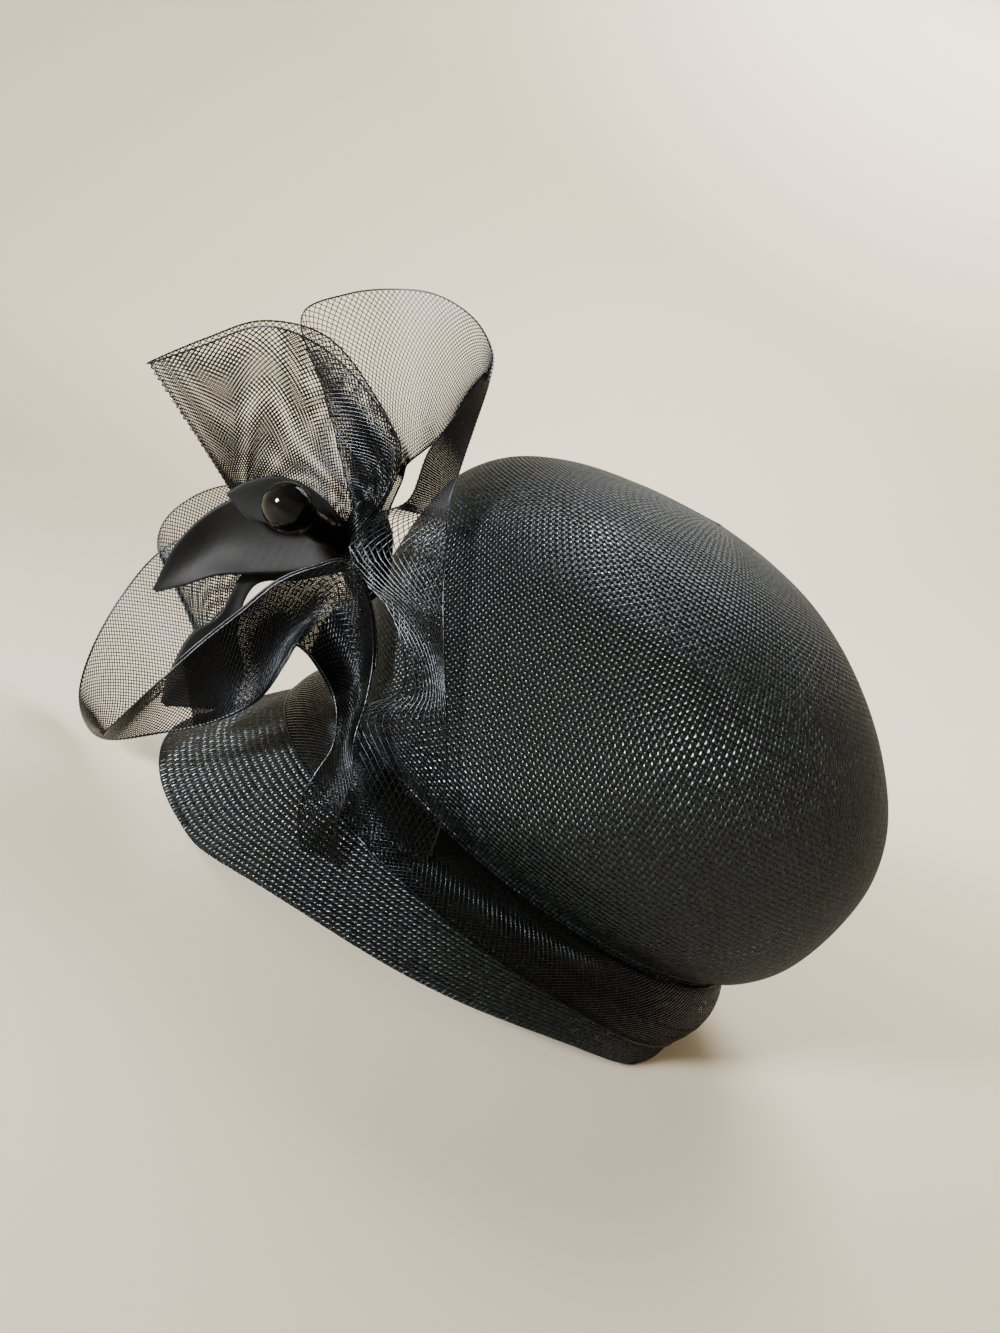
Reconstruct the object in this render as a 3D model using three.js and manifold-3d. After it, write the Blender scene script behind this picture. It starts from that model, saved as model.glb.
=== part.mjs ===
// A black straw cloche hat: a bubble crown and a bell brim of woven straw, a band of sheer crin round
// the crown's foot, and at the wearer's left front a bow of wide crin loops with satin petals and a
// glossy bead on a wrapped neck. Millimetres, +X wearer's left, +Y back, +Z up.

import * as THREE from 'three';
import { mergeVertices } from 'three/addons/utils/BufferGeometryUtils.js';
import Module from 'manifold-3d';

const wasm = await Module();
wasm.setup();

// Straw walls, crin and the gap between pieces that touch.
const STRAW_WALL = 1.8;
const CRIN_WALL = 1.0;
const SATIN_WALL = 1.2;
const GAP = 0.3;
const EDGE_SHARE = 0.04;

// Head ring, where the crown meets the brim: reach from the head's centre line, and height.
const HEAD_FRONT = 95;
const HEAD_BACK = 98;
const HEAD_SIDE = 82;
const HEAD_HEIGHT = 39;
const HEAD_FALL = 25;
const COLLAR_HEIGHT = 7;

// Bubble crown at its fullest.
const CROWN_FRONT = 105;
const CROWN_BACK = 126;
const CROWN_SIDE = 104;
const CROWN_HEIGHT = 143;

// Bell brim: the rim's oval, how far its centre lies ahead of the head's, and how far its sides arch
// up off the ground; RIM_FLAT is the share of the half width at which the arch starts.
const RIM_LONG = 121;
const RIM_SIDE = 109;
const RIM_FORWARD = 28;
const RIM_ARCH = 12;
const RIM_FLAT = 0.62;

// Crin band round the crown's foot.
const BAND_WIDTH = 27;
const BAND_RISE = 2;
const BAND_PUFF = 5;
const BAND_MOST = 0.85;

// Bow: the width of its crin, its knot, and the knot's place from the head's centre line.
const CRIN_WIDTH = 66;
const KNOT_LEFT = 34;
const KNOT_FORWARD = 114;
const KNOT_HEIGHT = 108;
const KNOT_RADIUS = 8;

// Satin petals, and the bead on its wrapped neck, placed from the knot.
const PETAL_SIZE = 66;
const BEAD_RADIUS = 8.6;
const BEAD_LEFT = 20;
const BEAD_FORWARD = 28;
const BEAD_UP = 5.5;
const NECK_RADIUS = 4.2;
const NECK_TIP_RADIUS = 5.4;
const NECK_RIBS = 5;
const NECK_RIB_DEPTH = 0.7;

// Facets.
const AROUND = 44;
const CROWN_UP = 16;
const BRIM_UP = 9;
const BAND_UP = 4;
const LOOP_STEPS = 24;
const LOOP_ACROSS = 5;
const PETAL_STEPS = 10;
const PETAL_ACROSS = 4;
const NECK_SIDES = 12;
const KNOT_SIDES = 16;
const BEAD_SIDES = 14;
const BALL_RINGS = 10;

// Points closer than WELD become one, and edges shorter than SLIVER go. PROBE is the step, as a share
// of a surface, that normals are taken over, and a ring shorter than POLE there is a pole.
const WELD = 0.001;
const SLIVER = 0.02;
const PROBE = 0.002;
const POLE = 0.0001;

// Crown sections from the head ring up. Columns: rise is the share of CROWN_HEIGHT, swell goes from
// the head ring's reach (0) to the fullest (1), and front, back and side close the section to the top.
const CROWN_ROWS = [
  { rise: 0.0, swell: 0.0, front: 1.0, back: 1.0, side: 1.0 },
  { rise: 0.03, swell: 0.06, front: 1.0, back: 1.0, side: 1.0 },
  { rise: 0.08, swell: 0.42, front: 1.0, back: 1.0, side: 1.0 },
  { rise: 0.18, swell: 0.77, front: 1.0, back: 1.0, side: 1.0 },
  { rise: 0.32, swell: 0.96, front: 1.0, back: 1.0, side: 1.0 },
  { rise: 0.46, swell: 1.0, front: 1.0, back: 0.99, side: 1.0 },
  { rise: 0.6, swell: 1.0, front: 0.98, back: 0.92, side: 0.96 },
  { rise: 0.74, swell: 1.0, front: 0.93, back: 0.77, side: 0.86 },
  { rise: 0.86, swell: 1.0, front: 0.8, back: 0.58, side: 0.69 },
  { rise: 0.94, swell: 1.0, front: 0.6, back: 0.39, side: 0.48 },
  { rise: 0.985, swell: 1.0, front: 0.33, back: 0.19, side: 0.25 },
  { rise: 1.0, swell: 1.0, front: 0.0, back: 0.0, side: 0.0 },
];

// Bell section from the rim up to the head ring. Columns: in and up are shares of the way.
const BELL_ROWS = [
  { in: 0.0, up: 0.0 },
  { in: 0.15, up: 0.19 },
  { in: 0.35, up: 0.43 },
  { in: 0.58, up: 0.67 },
  { in: 0.8, up: 0.87 },
  { in: 1.0, up: 1.0 },
];

// Ribbons and petals, a row for each place along them, from the knot. Columns: left, forward and up of
// one edge (a) and of the other (b), and the belly between them, as shares of CRIN_WIDTH or PETAL_SIZE.
const LOOP_FRONT_ROWS = [
  { a: [0.02, 0.05, 0.08], b: [-0.01, 0.09, 0.03], belly: 0.0 },
  { a: [0.09, 0.02, 0.4], b: [-0.03, 0.18, 0.04], belly: 0.04 },
  { a: [0.12, 0.07, 0.61], b: [-0.06, 0.31, 0.0], belly: 0.08 },
  { a: [0.15, 0.3, 0.76], b: [-0.08, 0.43, -0.03], belly: 0.08 },
  { a: [0.18, 0.64, 0.86], b: [-0.1, 0.53, -0.05], belly: 0.07 },
  { a: [0.15, 0.95, 0.81], b: [-0.12, 0.63, -0.07], belly: 0.05 },
  { a: [0.06, 1.22, 0.55], b: [-0.14, 0.7, -0.09], belly: 0.03 },
  { a: [-0.06, 1.46, 0.32], b: [-0.17, 0.76, -0.1], belly: 0.0 },
  { a: [-0.18, 1.28, 0.58], b: [-0.19, 0.71, -0.1], belly: 0.02 },
  { a: [-0.24, 1.07, 0.81], b: [-0.24, 0.64, -0.1], belly: 0.04 },
  { a: [-0.29, 0.75, 0.91], b: [-0.27, 0.53, -0.07], belly: 0.04 },
  { a: [-0.29, 0.39, 0.78], b: [-0.24, 0.38, -0.03], belly: 0.04 },
  { a: [-0.24, 0.11, 0.57], b: [-0.18, 0.24, 0.02], belly: 0.02 },
  { a: [-0.03, 0.05, 0.09], b: [-0.04, 0.09, 0.03], belly: 0.0 },
];
const LOOP_HIGH_ROWS = [
  { a: [-0.09, 0.0, 0.06], b: [-0.07, -0.05, 0.06], belly: 0.0 },
  { a: [-0.39, 0.26, 0.22], b: [-0.33, 0.0, 0.26], belly: 0.0 },
  { a: [-0.55, 0.63, 0.59], b: [-0.45, 0.02, 0.42], belly: 0.0 },
  { a: [-0.61, 0.98, 0.94], b: [-0.48, 0.04, 0.5], belly: 0.0 },
  { a: [-0.64, 0.82, 1.16], b: [-0.48, 0.03, 0.54], belly: 0.0 },
  { a: [-0.61, 0.61, 1.31], b: [-0.45, 0.0, 0.61], belly: 0.0 },
  { a: [-0.52, 0.36, 1.41], b: [-0.36, -0.04, 0.71], belly: 0.0 },
  { a: [-0.39, 0.11, 1.4], b: [-0.24, -0.08, 0.87], belly: 0.0 },
  { a: [-0.18, -0.08, 1.29], b: [-0.15, -0.11, 1.02], belly: 0.0 },
  { a: [0.06, -0.15, 1.14], b: [-0.06, -0.13, 1.13], belly: 0.0 },
  { a: [0.24, -0.2, 0.91], b: [0.0, -0.09, 0.92], belly: 0.0 },
  { a: [0.39, -0.25, 0.66], b: [0.03, -0.05, 0.68], belly: 0.0 },
  { a: [0.45, -0.29, 0.49], b: [0.06, -0.08, 0.39], belly: 0.0 },
];
const SASH_ROWS = [
  { a: [0.55, -0.35, 0.4], b: [0.18, 0.03, 0.25], belly: 0.0 },
  { a: [0.64, -0.41, 0.28], b: [0.3, 0.06, 0.07], belly: -0.02 },
  { a: [0.71, -0.47, 0.16], b: [0.36, -0.08, -0.04], belly: -0.04 },
  { a: [0.77, -0.54, 0.04], b: [0.45, -0.25, -0.08], belly: -0.05 },
  { a: [0.82, -0.62, -0.09], b: [0.55, -0.4, -0.18], belly: -0.05 },
  { a: [0.85, -0.72, -0.25], b: [0.6, -0.52, -0.38], belly: -0.04 },
  { a: [0.86, -0.82, -0.42], b: [0.55, -0.34, -0.67], belly: -0.02 },
  { a: [0.86, -0.93, -0.62], b: [0.63, -0.43, -0.84], belly: 0.0 },
  { a: [0.85, -1.02, -0.85], b: [0.71, -0.6, -1.03], belly: 0.02 },
  { a: [0.83, -1.05, -1.03], b: [0.78, -0.83, -1.2], belly: 0.02 },
];
const LOOP_LOW_ROWS = [
  { a: [-0.05, 0.09, -0.04], b: [-0.03, 0.04, -0.08], belly: 0.0 },
  { a: [-0.3, 0.59, -0.19], b: [-0.18, 0.42, -0.34], belly: 0.0 },
  { a: [-0.39, 0.88, -0.4], b: [-0.21, 0.52, -0.54], belly: 0.0 },
  { a: [-0.39, 1.05, -0.64], b: [-0.18, 0.54, -0.81], belly: 0.0 },
  { a: [-0.33, 1.12, -0.98], b: [-0.09, 0.58, -1.12], belly: 0.0 },
  { a: [-0.18, 1.1, -1.3], b: [0.06, 0.66, -1.39], belly: 0.0 },
  { a: [-0.03, 1.02, -1.49], b: [0.24, 0.73, -1.49], belly: 0.0 },
  { a: [0.12, 0.89, -1.56], b: [0.42, 0.7, -1.43], belly: 0.0 },
  { a: [0.27, 0.73, -1.53], b: [0.52, 0.66, -1.3], belly: 0.0 },
  { a: [0.39, 0.46, -1.3], b: [0.55, 0.57, -1.02], belly: 0.03 },
  { a: [0.42, 0.24, -1.09], b: [0.48, 0.47, -0.72], belly: 0.06 },
];
const CURL_ROWS = [
  { a: [0.42, 0.1, -0.87], b: [0.45, 0.37, -0.48], belly: 0.1 },
  { a: [0.45, 0.07, -0.6], b: [0.42, 0.27, -0.24], belly: 0.12 },
  { a: [0.48, 0.06, -0.48], b: [0.42, 0.14, -0.08], belly: 0.12 },
  { a: [0.5, -0.02, -0.48], b: [0.42, 0.03, 0.01], belly: 0.12 },
  { a: [0.52, -0.12, -0.52], b: [0.42, -0.15, -0.1], belly: 0.1 },
  { a: [0.55, -0.22, -0.58], b: [0.48, -0.31, -0.31], belly: 0.08 },
  { a: [0.61, -0.3, -0.66], b: [0.58, -0.4, -0.53], belly: 0.05 },
  { a: [0.67, -0.36, -0.8], b: [0.67, -0.44, -0.7], belly: 0.04 },
  { a: [0.73, -0.35, -0.96], b: [0.74, -0.53, -0.89], belly: 0.03 },
  { a: [0.77, -0.36, -1.13], b: [0.8, -0.57, -1.09], belly: 0.02 },
  { a: [0.8, -0.47, -1.31], b: [0.84, -0.68, -1.28], belly: 0.02 },
];
const FLAP_ROWS = [
  { a: [-0.1, 0.05, 0.0], b: [-0.08, 0.06, -0.04], belly: 0.0 },
  { a: [-0.48, 0.57, 0.04], b: [-0.39, 0.27, -0.25], belly: 0.02 },
  { a: [-0.58, 0.91, -0.13], b: [-0.45, 0.48, -0.48], belly: 0.03 },
  { a: [-0.61, 1.08, -0.32], b: [-0.45, 0.55, -0.7], belly: 0.03 },
  { a: [-0.58, 1.15, -0.51], b: [-0.42, 0.6, -0.86], belly: 0.02 },
  { a: [-0.52, 1.11, -0.65], b: [-0.39, 0.59, -0.99], belly: 0.0 },
  { a: [-0.39, 0.91, -0.76], b: [-0.33, 0.59, -1.01], belly: 0.0 },
];
const PETAL_LONG_ROWS = [
  { a: [0.02, 0.09, 0.0], b: [0.03, 0.06, -0.07], belly: 0.0 },
  { a: [0.01, 0.31, 0.09], b: [0.04, 0.15, -0.16], belly: 0.03 },
  { a: [0.0, 0.53, 0.08], b: [0.03, 0.31, -0.29], belly: 0.04 },
  { a: [0.0, 0.71, -0.04], b: [0.03, 0.47, -0.39], belly: 0.05 },
  { a: [0.0, 0.83, -0.22], b: [0.04, 0.63, -0.49], belly: 0.06 },
  { a: [0.01, 0.9, -0.46], b: [0.02, 0.75, -0.62], belly: 0.03 },
  { a: [-0.02, 0.91, -0.74], b: [-0.02, 0.88, -0.75], belly: 0.0 },
];
const PETAL_TOP_ROWS = [
  { a: [0.04, 0.05, 0.06], b: [0.03, 0.07, 0.04], belly: 0.0 },
  { a: [0.08, 0.37, 0.19], b: [0.03, 0.19, 0.09], belly: 0.01 },
  { a: [0.09, 0.56, 0.17], b: [0.09, 0.41, -0.04], belly: 0.02 },
  { a: [0.09, 0.7, 0.06], b: [0.09, 0.59, -0.11], belly: 0.01 },
  { a: [0.08, 0.77, -0.05], b: [0.08, 0.74, -0.07], belly: 0.0 },
];
const PETAL_LOW_ROWS = [
  { a: [0.01, 0.04, -0.08], b: [0.02, 0.0, -0.09], belly: 0.0 },
  { a: [-0.03, 0.29, -0.24], b: [-0.03, 0.23, -0.3], belly: 0.0 },
  { a: [-0.04, 0.51, -0.4], b: [-0.04, 0.43, -0.45], belly: 0.0 },
  { a: [-0.02, 0.53, -0.7], b: [-0.02, 0.4, -0.72], belly: 0.02 },
  { a: [0.02, 0.61, -0.85], b: [0.04, 0.26, -0.89], belly: 0.04 },
  { a: [0.08, 0.61, -1.07], b: [0.1, 0.23, -1.08], belly: 0.04 },
  { a: [0.14, 0.57, -1.24], b: [0.14, 0.53, -1.25], belly: 0.0 },
];
const PETAL_BACK_ROWS = [
  { a: [-0.06, 0.03, 0.08], b: [-0.05, -0.01, 0.09], belly: 0.0 },
  { a: [-0.28, 0.24, 0.24], b: [-0.26, 0.06, 0.26], belly: 0.02 },
  { a: [-0.36, 0.34, 0.42], b: [-0.34, 0.1, 0.44], belly: 0.03 },
  { a: [-0.37, 0.41, 0.57], b: [-0.37, 0.25, 0.55], belly: 0.02 },
  { a: [-0.37, 0.45, 0.66], b: [-0.37, 0.42, 0.65], belly: 0.0 },
];

const straw = new THREE.MeshStandardMaterial({ color: 0x1b1f1f, roughness: 0.42, metalness: 0 });
const crin = new THREE.MeshStandardMaterial({ color: 0x141414, roughness: 0.5, metalness: 0 });
const satin = new THREE.MeshStandardMaterial({ color: 0x1c1c1c, roughness: 0.45, metalness: 0 });
const gloss = new THREE.MeshStandardMaterial({ color: 0x060606, roughness: 0.08, metalness: 0 });

// Cubic through the rows: t runs from 0 at the first row to 1 at the last.
function cubic(values, t) {
  const last = values.length - 1;
  const at = Math.min(Math.max(t, 0), 1) * last;
  const i = Math.min(Math.floor(at), last - 1);
  const f = at - i;
  const p0 = values[Math.max(i - 1, 0)];
  const p1 = values[i];
  const p2 = values[i + 1];
  const p3 = values[Math.min(i + 2, last)];
  const slope1 = (p2 - p0) / 2;
  const slope2 = (p3 - p1) / 2;
  const bend = 2 * p1 - 2 * p2 + slope1 + slope2;
  const start = -3 * p1 + 3 * p2 - 2 * slope1 - slope2;
  return ((bend * f + start) * f + slope1) * f + p1;
}

function rowAt(rows, t) {
  const row = {};
  for (const column of Object.keys(rows[0])) {
    row[column] = cubic(rows.map((r) => r[column]), t);
  }
  return row;
}

// An oval round the head's centre line; turn 0 is the front, a quarter turn the wearer's left.
function oval(turn, front, back, side) {
  const angle = 2 * Math.PI * turn;
  const forward = Math.cos(angle);
  return new THREE.Vector3(side * Math.sin(angle), -forward * (forward > 0 ? front : back), 0);
}

// The head ring lies on a plane that falls to the back; the crown's sections level out as they rise.
const HEAD_SLOPE = HEAD_FALL / (HEAD_FRONT + HEAD_BACK);

function headRing(turn, grow = 0) {
  const point = oval(turn, HEAD_FRONT + grow, HEAD_BACK + grow, HEAD_SIDE + grow);
  point.z = HEAD_HEIGHT - HEAD_SLOPE * point.y;
  return point;
}

function crownPoint(turn, t) {
  const row = rowAt(CROWN_ROWS, t);
  const reach = (head, full, close) => (head + (full - head) * row.swell) * close;
  const point = oval(
    turn,
    reach(HEAD_FRONT, CROWN_FRONT, row.front),
    reach(HEAD_BACK, CROWN_BACK, row.back),
    reach(HEAD_SIDE, CROWN_SIDE, row.side),
  );
  point.z = HEAD_HEIGHT + CROWN_HEIGHT * row.rise - HEAD_SLOPE * point.y * (1 - row.rise);
  return point;
}

function rimPoint(turn) {
  const point = oval(turn, RIM_LONG, RIM_LONG, RIM_SIDE);
  const sideways = Math.abs(Math.sin(2 * Math.PI * turn));
  point.y -= RIM_FORWARD;
  point.z = RIM_ARCH * THREE.MathUtils.smoothstep(sideways, RIM_FLAT, 1);
  return point;
}

// The bell's outer face from the rim (t = 0) up to the foot of the collar, just under the crown.
function bellPoint(turn, t) {
  const row = rowAt(BELL_ROWS, t);
  const rim = rimPoint(turn);
  const foot = headRing(turn, -STRAW_WALL - GAP);
  foot.z -= GAP;
  return new THREE.Vector3(
    THREE.MathUtils.lerp(rim.x, foot.x, row.in),
    THREE.MathUtils.lerp(rim.y, foot.y, row.in),
    THREE.MathUtils.lerp(rim.z, foot.z, row.up),
  );
}

// The brim's outer face: the bell, then a collar that stands up inside the crown.
function brimPoint(turn, t) {
  const bellShare = 1 - 1 / BRIM_UP;
  if (t <= bellShare) {
    return bellPoint(turn, t / bellShare);
  }
  const foot = bellPoint(turn, 1);
  foot.z += COLLAR_HEIGHT * ((t - bellShare) / (1 - bellShare));
  return foot;
}

// The band's outer face from its low edge on the bell (t = 0) to the crown's foot, puffed between.
function bandPoint(turn, t) {
  const bellWidth = bellPoint(turn, 0).distanceTo(bellPoint(turn, 1));
  const share = 1 - Math.min(BAND_WIDTH / bellWidth, BAND_MOST);
  const out = faceNormal(bellPoint, turn, share);
  const low = bellPoint(turn, share).addScaledVector(out, GAP + CRIN_WALL);
  const top = headRing(turn, GAP + CRIN_WALL);
  top.z += BAND_RISE;
  return low.lerp(top, t).addScaledVector(out, BAND_PUFF * Math.sin(Math.PI * t));
}

// Unit normal of a surface, by differences; at a pole, where the surface has no width, it is +Z.
function faceNormal(surface, u, v) {
  const ahead = Math.min(v + PROBE, 1);
  const across = surface(u + PROBE, v).sub(surface(u - PROBE, v));
  const along = surface(u, ahead).sub(surface(u, ahead - 2 * PROBE));
  if (across.length() < POLE) {
    return new THREE.Vector3(0, 0, 1);
  }
  return along.cross(across).normalize().negate();
}

// A closed body from rings of points: each ring joins the next, and the ends are joined or capped.
function skin(rings, joined) {
  const count = rings[0].length;
  const positions = rings.flat().flatMap((p) => [p.x, p.y, p.z]);
  const index = [];
  const quad = (a, b, c, d) => index.push(a, b, c, a, c, d);
  const spans = joined ? rings.length : rings.length - 1;
  for (let i = 0; i < spans; i += 1) {
    const here = i * count;
    const next = ((i + 1) % rings.length) * count;
    for (let j = 0; j < count; j += 1) {
      const k = (j + 1) % count;
      quad(here + j, here + k, next + k, next + j);
    }
  }
  if (!joined) {
    const end = (rings.length - 1) * count;
    for (let j = 0; j < count / 2 - 1; j += 1) {
      quad(j, count - 1 - j, count - 2 - j, j + 1);
      quad(end + j, end + j + 1, end + count - 2 - j, end + count - 1 - j);
    }
  }
  return outward(weld(positions, index));
}

// Points that coincide become one, and triangles with no area go.
function weld(positions, index) {
  const geometry = new THREE.BufferGeometry();
  geometry.setAttribute('position', new THREE.Float32BufferAttribute(positions, 3));
  geometry.setIndex(index);
  const merged = mergeVertices(geometry, WELD);
  const kept = [];
  const all = merged.index.array;
  for (let i = 0; i < all.length; i += 3) {
    const [a, b, c] = [all[i], all[i + 1], all[i + 2]];
    if (a !== b && b !== c && c !== a) {
      kept.push(a, b, c);
    }
  }
  merged.setIndex(kept);
  return merged;
}

// Faces point out where the signed volume is positive.
function outward(geometry) {
  const index = Array.from(geometry.index.array);
  const at = geometry.attributes.position;
  const corner = (i) => new THREE.Vector3().fromBufferAttribute(at, index[i]);
  let volume = 0;
  for (let i = 0; i < index.length; i += 3) {
    volume += corner(i).dot(corner(i + 1).cross(corner(i + 2)));
  }
  if (volume < 0) {
    geometry.setIndex(index.reverse());
  }
  return geometry;
}

// A wall whose outer face is surface(u, v): u runs round or along, v across. The inner face lies a
// wall's thickness inside; a level start has both its edges at one height, so that it stands flat.
function wallOf(surface, { steps, across, joined, wall, levelStart = false }) {
  const rings = [];
  const last = joined ? steps - 1 : steps;
  for (let i = 0; i <= last; i += 1) {
    const outer = [];
    const inner = [];
    for (let j = 0; j <= across; j += 1) {
      const point = surface(i / steps, j / across);
      const under = faceNormal(surface, i / steps, j / across).multiplyScalar(-wall).add(point);
      if (levelStart && j === 0) {
        under.z = point.z;
      }
      outer.push(point);
      inner.push(under);
    }
    rings.push([...outer, ...inner.reverse()]);
  }
  return skin(rings, joined);
}

// A ribbon's face: u along it, v from one selvedge to the other, with a belly between them.
const knotCentre = new THREE.Vector3(KNOT_LEFT, -KNOT_FORWARD, KNOT_HEIGHT);

function fromKnot([left, forward, up], scale) {
  return new THREE.Vector3(left, -forward, up).multiplyScalar(scale).add(knotCentre);
}

function ribbonFace(rows, scale) {
  const edgeA = new THREE.CatmullRomCurve3(rows.map((row) => fromKnot(row.a, scale)));
  const edgeB = new THREE.CatmullRomCurve3(rows.map((row) => fromKnot(row.b, scale)));
  const bellies = rows.map((row) => row.belly * scale);
  return (u, v) => {
    const t = Math.min(Math.max(u, 0), 1);
    const a = edgeA.getPoint(t);
    const b = edgeB.getPoint(t);
    const across = b.clone().sub(a);
    const along = edgeA.getTangent(t).add(edgeB.getTangent(t));
    const out = across.cross(along).normalize();
    return a.lerp(b, v).addScaledVector(out, cubic(bellies, t) * Math.sin(Math.PI * v));
  };
}

function toSolid(geometry) {
  const plain = weld(geometry.attributes.position.array, Array.from(geometry.index.array));
  return new wasm.Manifold(
    new wasm.Mesh({
      numProp: 3,
      vertProperties: plain.attributes.position.array,
      triVerts: new Uint32Array(plain.index.array),
    }),
  );
}

function fromSolid(solid) {
  const mesh = solid.getMesh();
  return weld(Array.from(mesh.vertProperties), Array.from(mesh.triVerts));
}

function named(name, geometry, material) {
  geometry.computeVertexNormals();
  const mesh = new THREE.Mesh(geometry, material);
  mesh.name = name;
  return mesh;
}

// What the bow lies against: the crown, band and brim filled in, a gap proud of them.
function bodyBehind() {
  const swollen = (surface) => (turn, t) =>
    surface(turn, t).addScaledVector(faceNormal(surface, turn, t), GAP);
  const filled = (surface, across) => {
    const face = swollen(surface);
    const rings = [];
    for (let j = 0; j <= across; j += 1) {
      const ring = [];
      for (let i = 0; i < AROUND; i += 1) {
        ring.push(face(i / AROUND, THREE.MathUtils.lerp(-EDGE_SHARE, 1 + EDGE_SHARE, j / across)));
      }
      rings.push(ring);
    }
    return toSolid(capped(rings));
  };
  const brim = filled(bellPoint, BRIM_UP - 1);
  return filled(crownPoint, CROWN_UP).add(brim).add(filled(bandPoint, BAND_UP));
}

// A stack of rings, its first and last closed by fans to their middles.
function capped(rings) {
  const count = rings[0].length;
  const middle = (ring) =>
    ring.reduce((sum, p) => sum.add(p), new THREE.Vector3()).divideScalar(count);
  const all = [...rings.flat(), middle(rings[0]), middle(rings.at(-1))];
  const index = [];
  for (let i = 0; i < rings.length - 1; i += 1) {
    for (let j = 0; j < count; j += 1) {
      const k = (j + 1) % count;
      const here = i * count;
      const next = here + count;
      index.push(here + j, here + k, next + k, here + j, next + k, next + j);
    }
  }
  const end = (rings.length - 1) * count;
  for (let j = 0; j < count; j += 1) {
    const k = (j + 1) % count;
    index.push(all.length - 2, k, j, all.length - 1, end + j, end + k);
  }
  return outward(weld(all.flatMap((p) => [p.x, p.y, p.z]), index));
}

function buildStraw(hat) {
  const round = { steps: AROUND, joined: true };
  const crown = wallOf(crownPoint, { ...round, across: CROWN_UP, wall: STRAW_WALL });
  const brim = wallOf(brimPoint, { ...round, across: BRIM_UP, wall: STRAW_WALL, levelStart: true });
  const band = wallOf(bandPoint, { ...round, across: BAND_UP, wall: CRIN_WALL });
  hat.add(named('crown', crown, straw), named('brim', brim, straw), named('crin_band', band, crin));
}

// Some of the bow's ribbons run on: the high loop falls as the sash, and the low loop rolls over into
// the curled tail. Each is one surface in two stretches, parted by the gap.
function stretches(first, second) {
  const rows = [...first, ...second];
  const face = ribbonFace(rows, CRIN_WIDTH);
  const length = new THREE.CatmullRomCurve3(rows.map((row) => fromKnot(row.a, CRIN_WIDTH))).getLength();
  const parting = (first.length - 1) / (rows.length - 1);
  const half = GAP / length / 2;
  const between = (from, to) => (u, v) => face(THREE.MathUtils.lerp(from, to, u), v);
  return [between(0, parting - half), between(parting + half, 1)];
}

// A ribbon or petal with the gap all round it, which the next ones are cut by where they cross it.
function swollenSheet(face, sheet) {
  const wide = (u, v) => face(u, THREE.MathUtils.lerp(-EDGE_SHARE, 1 + EDGE_SHARE, v));
  const proud = (u, v) => wide(u, v).addScaledVector(faceNormal(wide, u, v), GAP);
  return toSolid(wallOf(proud, { ...sheet, wall: sheet.wall + 2 * GAP, joined: false }));
}

// Each ribbon and petal starts inside the knot; the knot, the neck and the hat behind cut it clear.
function buildSheets(bow) {
  let taken = toSolid(knotBody(KNOT_RADIUS + GAP)).add(toSolid(neckBody(GAP))).add(bodyBehind());
  const [loopHigh, sashFall] = stretches(LOOP_HIGH_ROWS, SASH_ROWS);
  const [loopLow, curlTail] = stretches(LOOP_LOW_ROWS, CURL_ROWS);
  const ribbons = {
    loop_front: ribbonFace(LOOP_FRONT_ROWS, CRIN_WIDTH),
    loop_high: loopHigh,
    sash_fall: sashFall,
    loop_low: loopLow,
    curl_tail: curlTail,
    flap: ribbonFace(FLAP_ROWS, CRIN_WIDTH),
  };
  const petals = {
    petal_long: ribbonFace(PETAL_LONG_ROWS, PETAL_SIZE),
    petal_top: ribbonFace(PETAL_TOP_ROWS, PETAL_SIZE),
    petal_low: ribbonFace(PETAL_LOW_ROWS, PETAL_SIZE),
    petal_back: ribbonFace(PETAL_BACK_ROWS, PETAL_SIZE),
  };
  const add = (name, face, sheet, material) => {
    const wall = toSolid(wallOf(face, { ...sheet, joined: false }));
    bow.add(named(name, fromSolid(wall.subtract(taken).simplify(SLIVER)), material));
    taken = taken.add(swollenSheet(face, sheet));
  };
  for (const [name, face] of Object.entries(ribbons)) {
    add(name, face, { steps: LOOP_STEPS, across: LOOP_ACROSS, wall: CRIN_WALL }, crin);
  }
  for (const [name, face] of Object.entries(petals)) {
    add(name, face, { steps: PETAL_STEPS, across: PETAL_ACROSS, wall: SATIN_WALL }, satin);
  }
}

// The knot is a round lump of gathered crin.
function knotBody(radius) {
  const lump = new THREE.SphereGeometry(radius, KNOT_SIDES, BALL_RINGS);
  lump.translate(knotCentre.x, knotCentre.y, knotCentre.z);
  return lump;
}

// The neck is turned about its own axis, from the knot to the bead, with a groove between its ribs.
const beadReach = new THREE.Vector3(BEAD_LEFT, -BEAD_FORWARD, BEAD_UP);

function neckBody(grow) {
  const start = KNOT_RADIUS + GAP - grow;
  const end = beadReach.length() - BEAD_RADIUS - GAP + grow;
  const profile = [new THREE.Vector2(0, start)];
  for (let i = 0; i <= 2 * NECK_RIBS; i += 1) {
    const share = i / (2 * NECK_RIBS);
    const radius = THREE.MathUtils.lerp(NECK_RADIUS, NECK_TIP_RADIUS, share) + grow;
    const groove = i % 2 === 0 ? NECK_RIB_DEPTH : 0;
    profile.push(new THREE.Vector2(radius - groove, THREE.MathUtils.lerp(start, end, share)));
  }
  profile.push(new THREE.Vector2(0, end));
  const turned = new THREE.LatheGeometry(profile, NECK_SIDES);
  const direction = beadReach.clone().normalize();
  const turn = new THREE.Quaternion().setFromUnitVectors(new THREE.Vector3(0, 1, 0), direction);
  turned.applyQuaternion(turn).translate(knotCentre.x, knotCentre.y, knotCentre.z);
  return outward(weld(Array.from(turned.attributes.position.array), Array.from(turned.index.array)));
}

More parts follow.
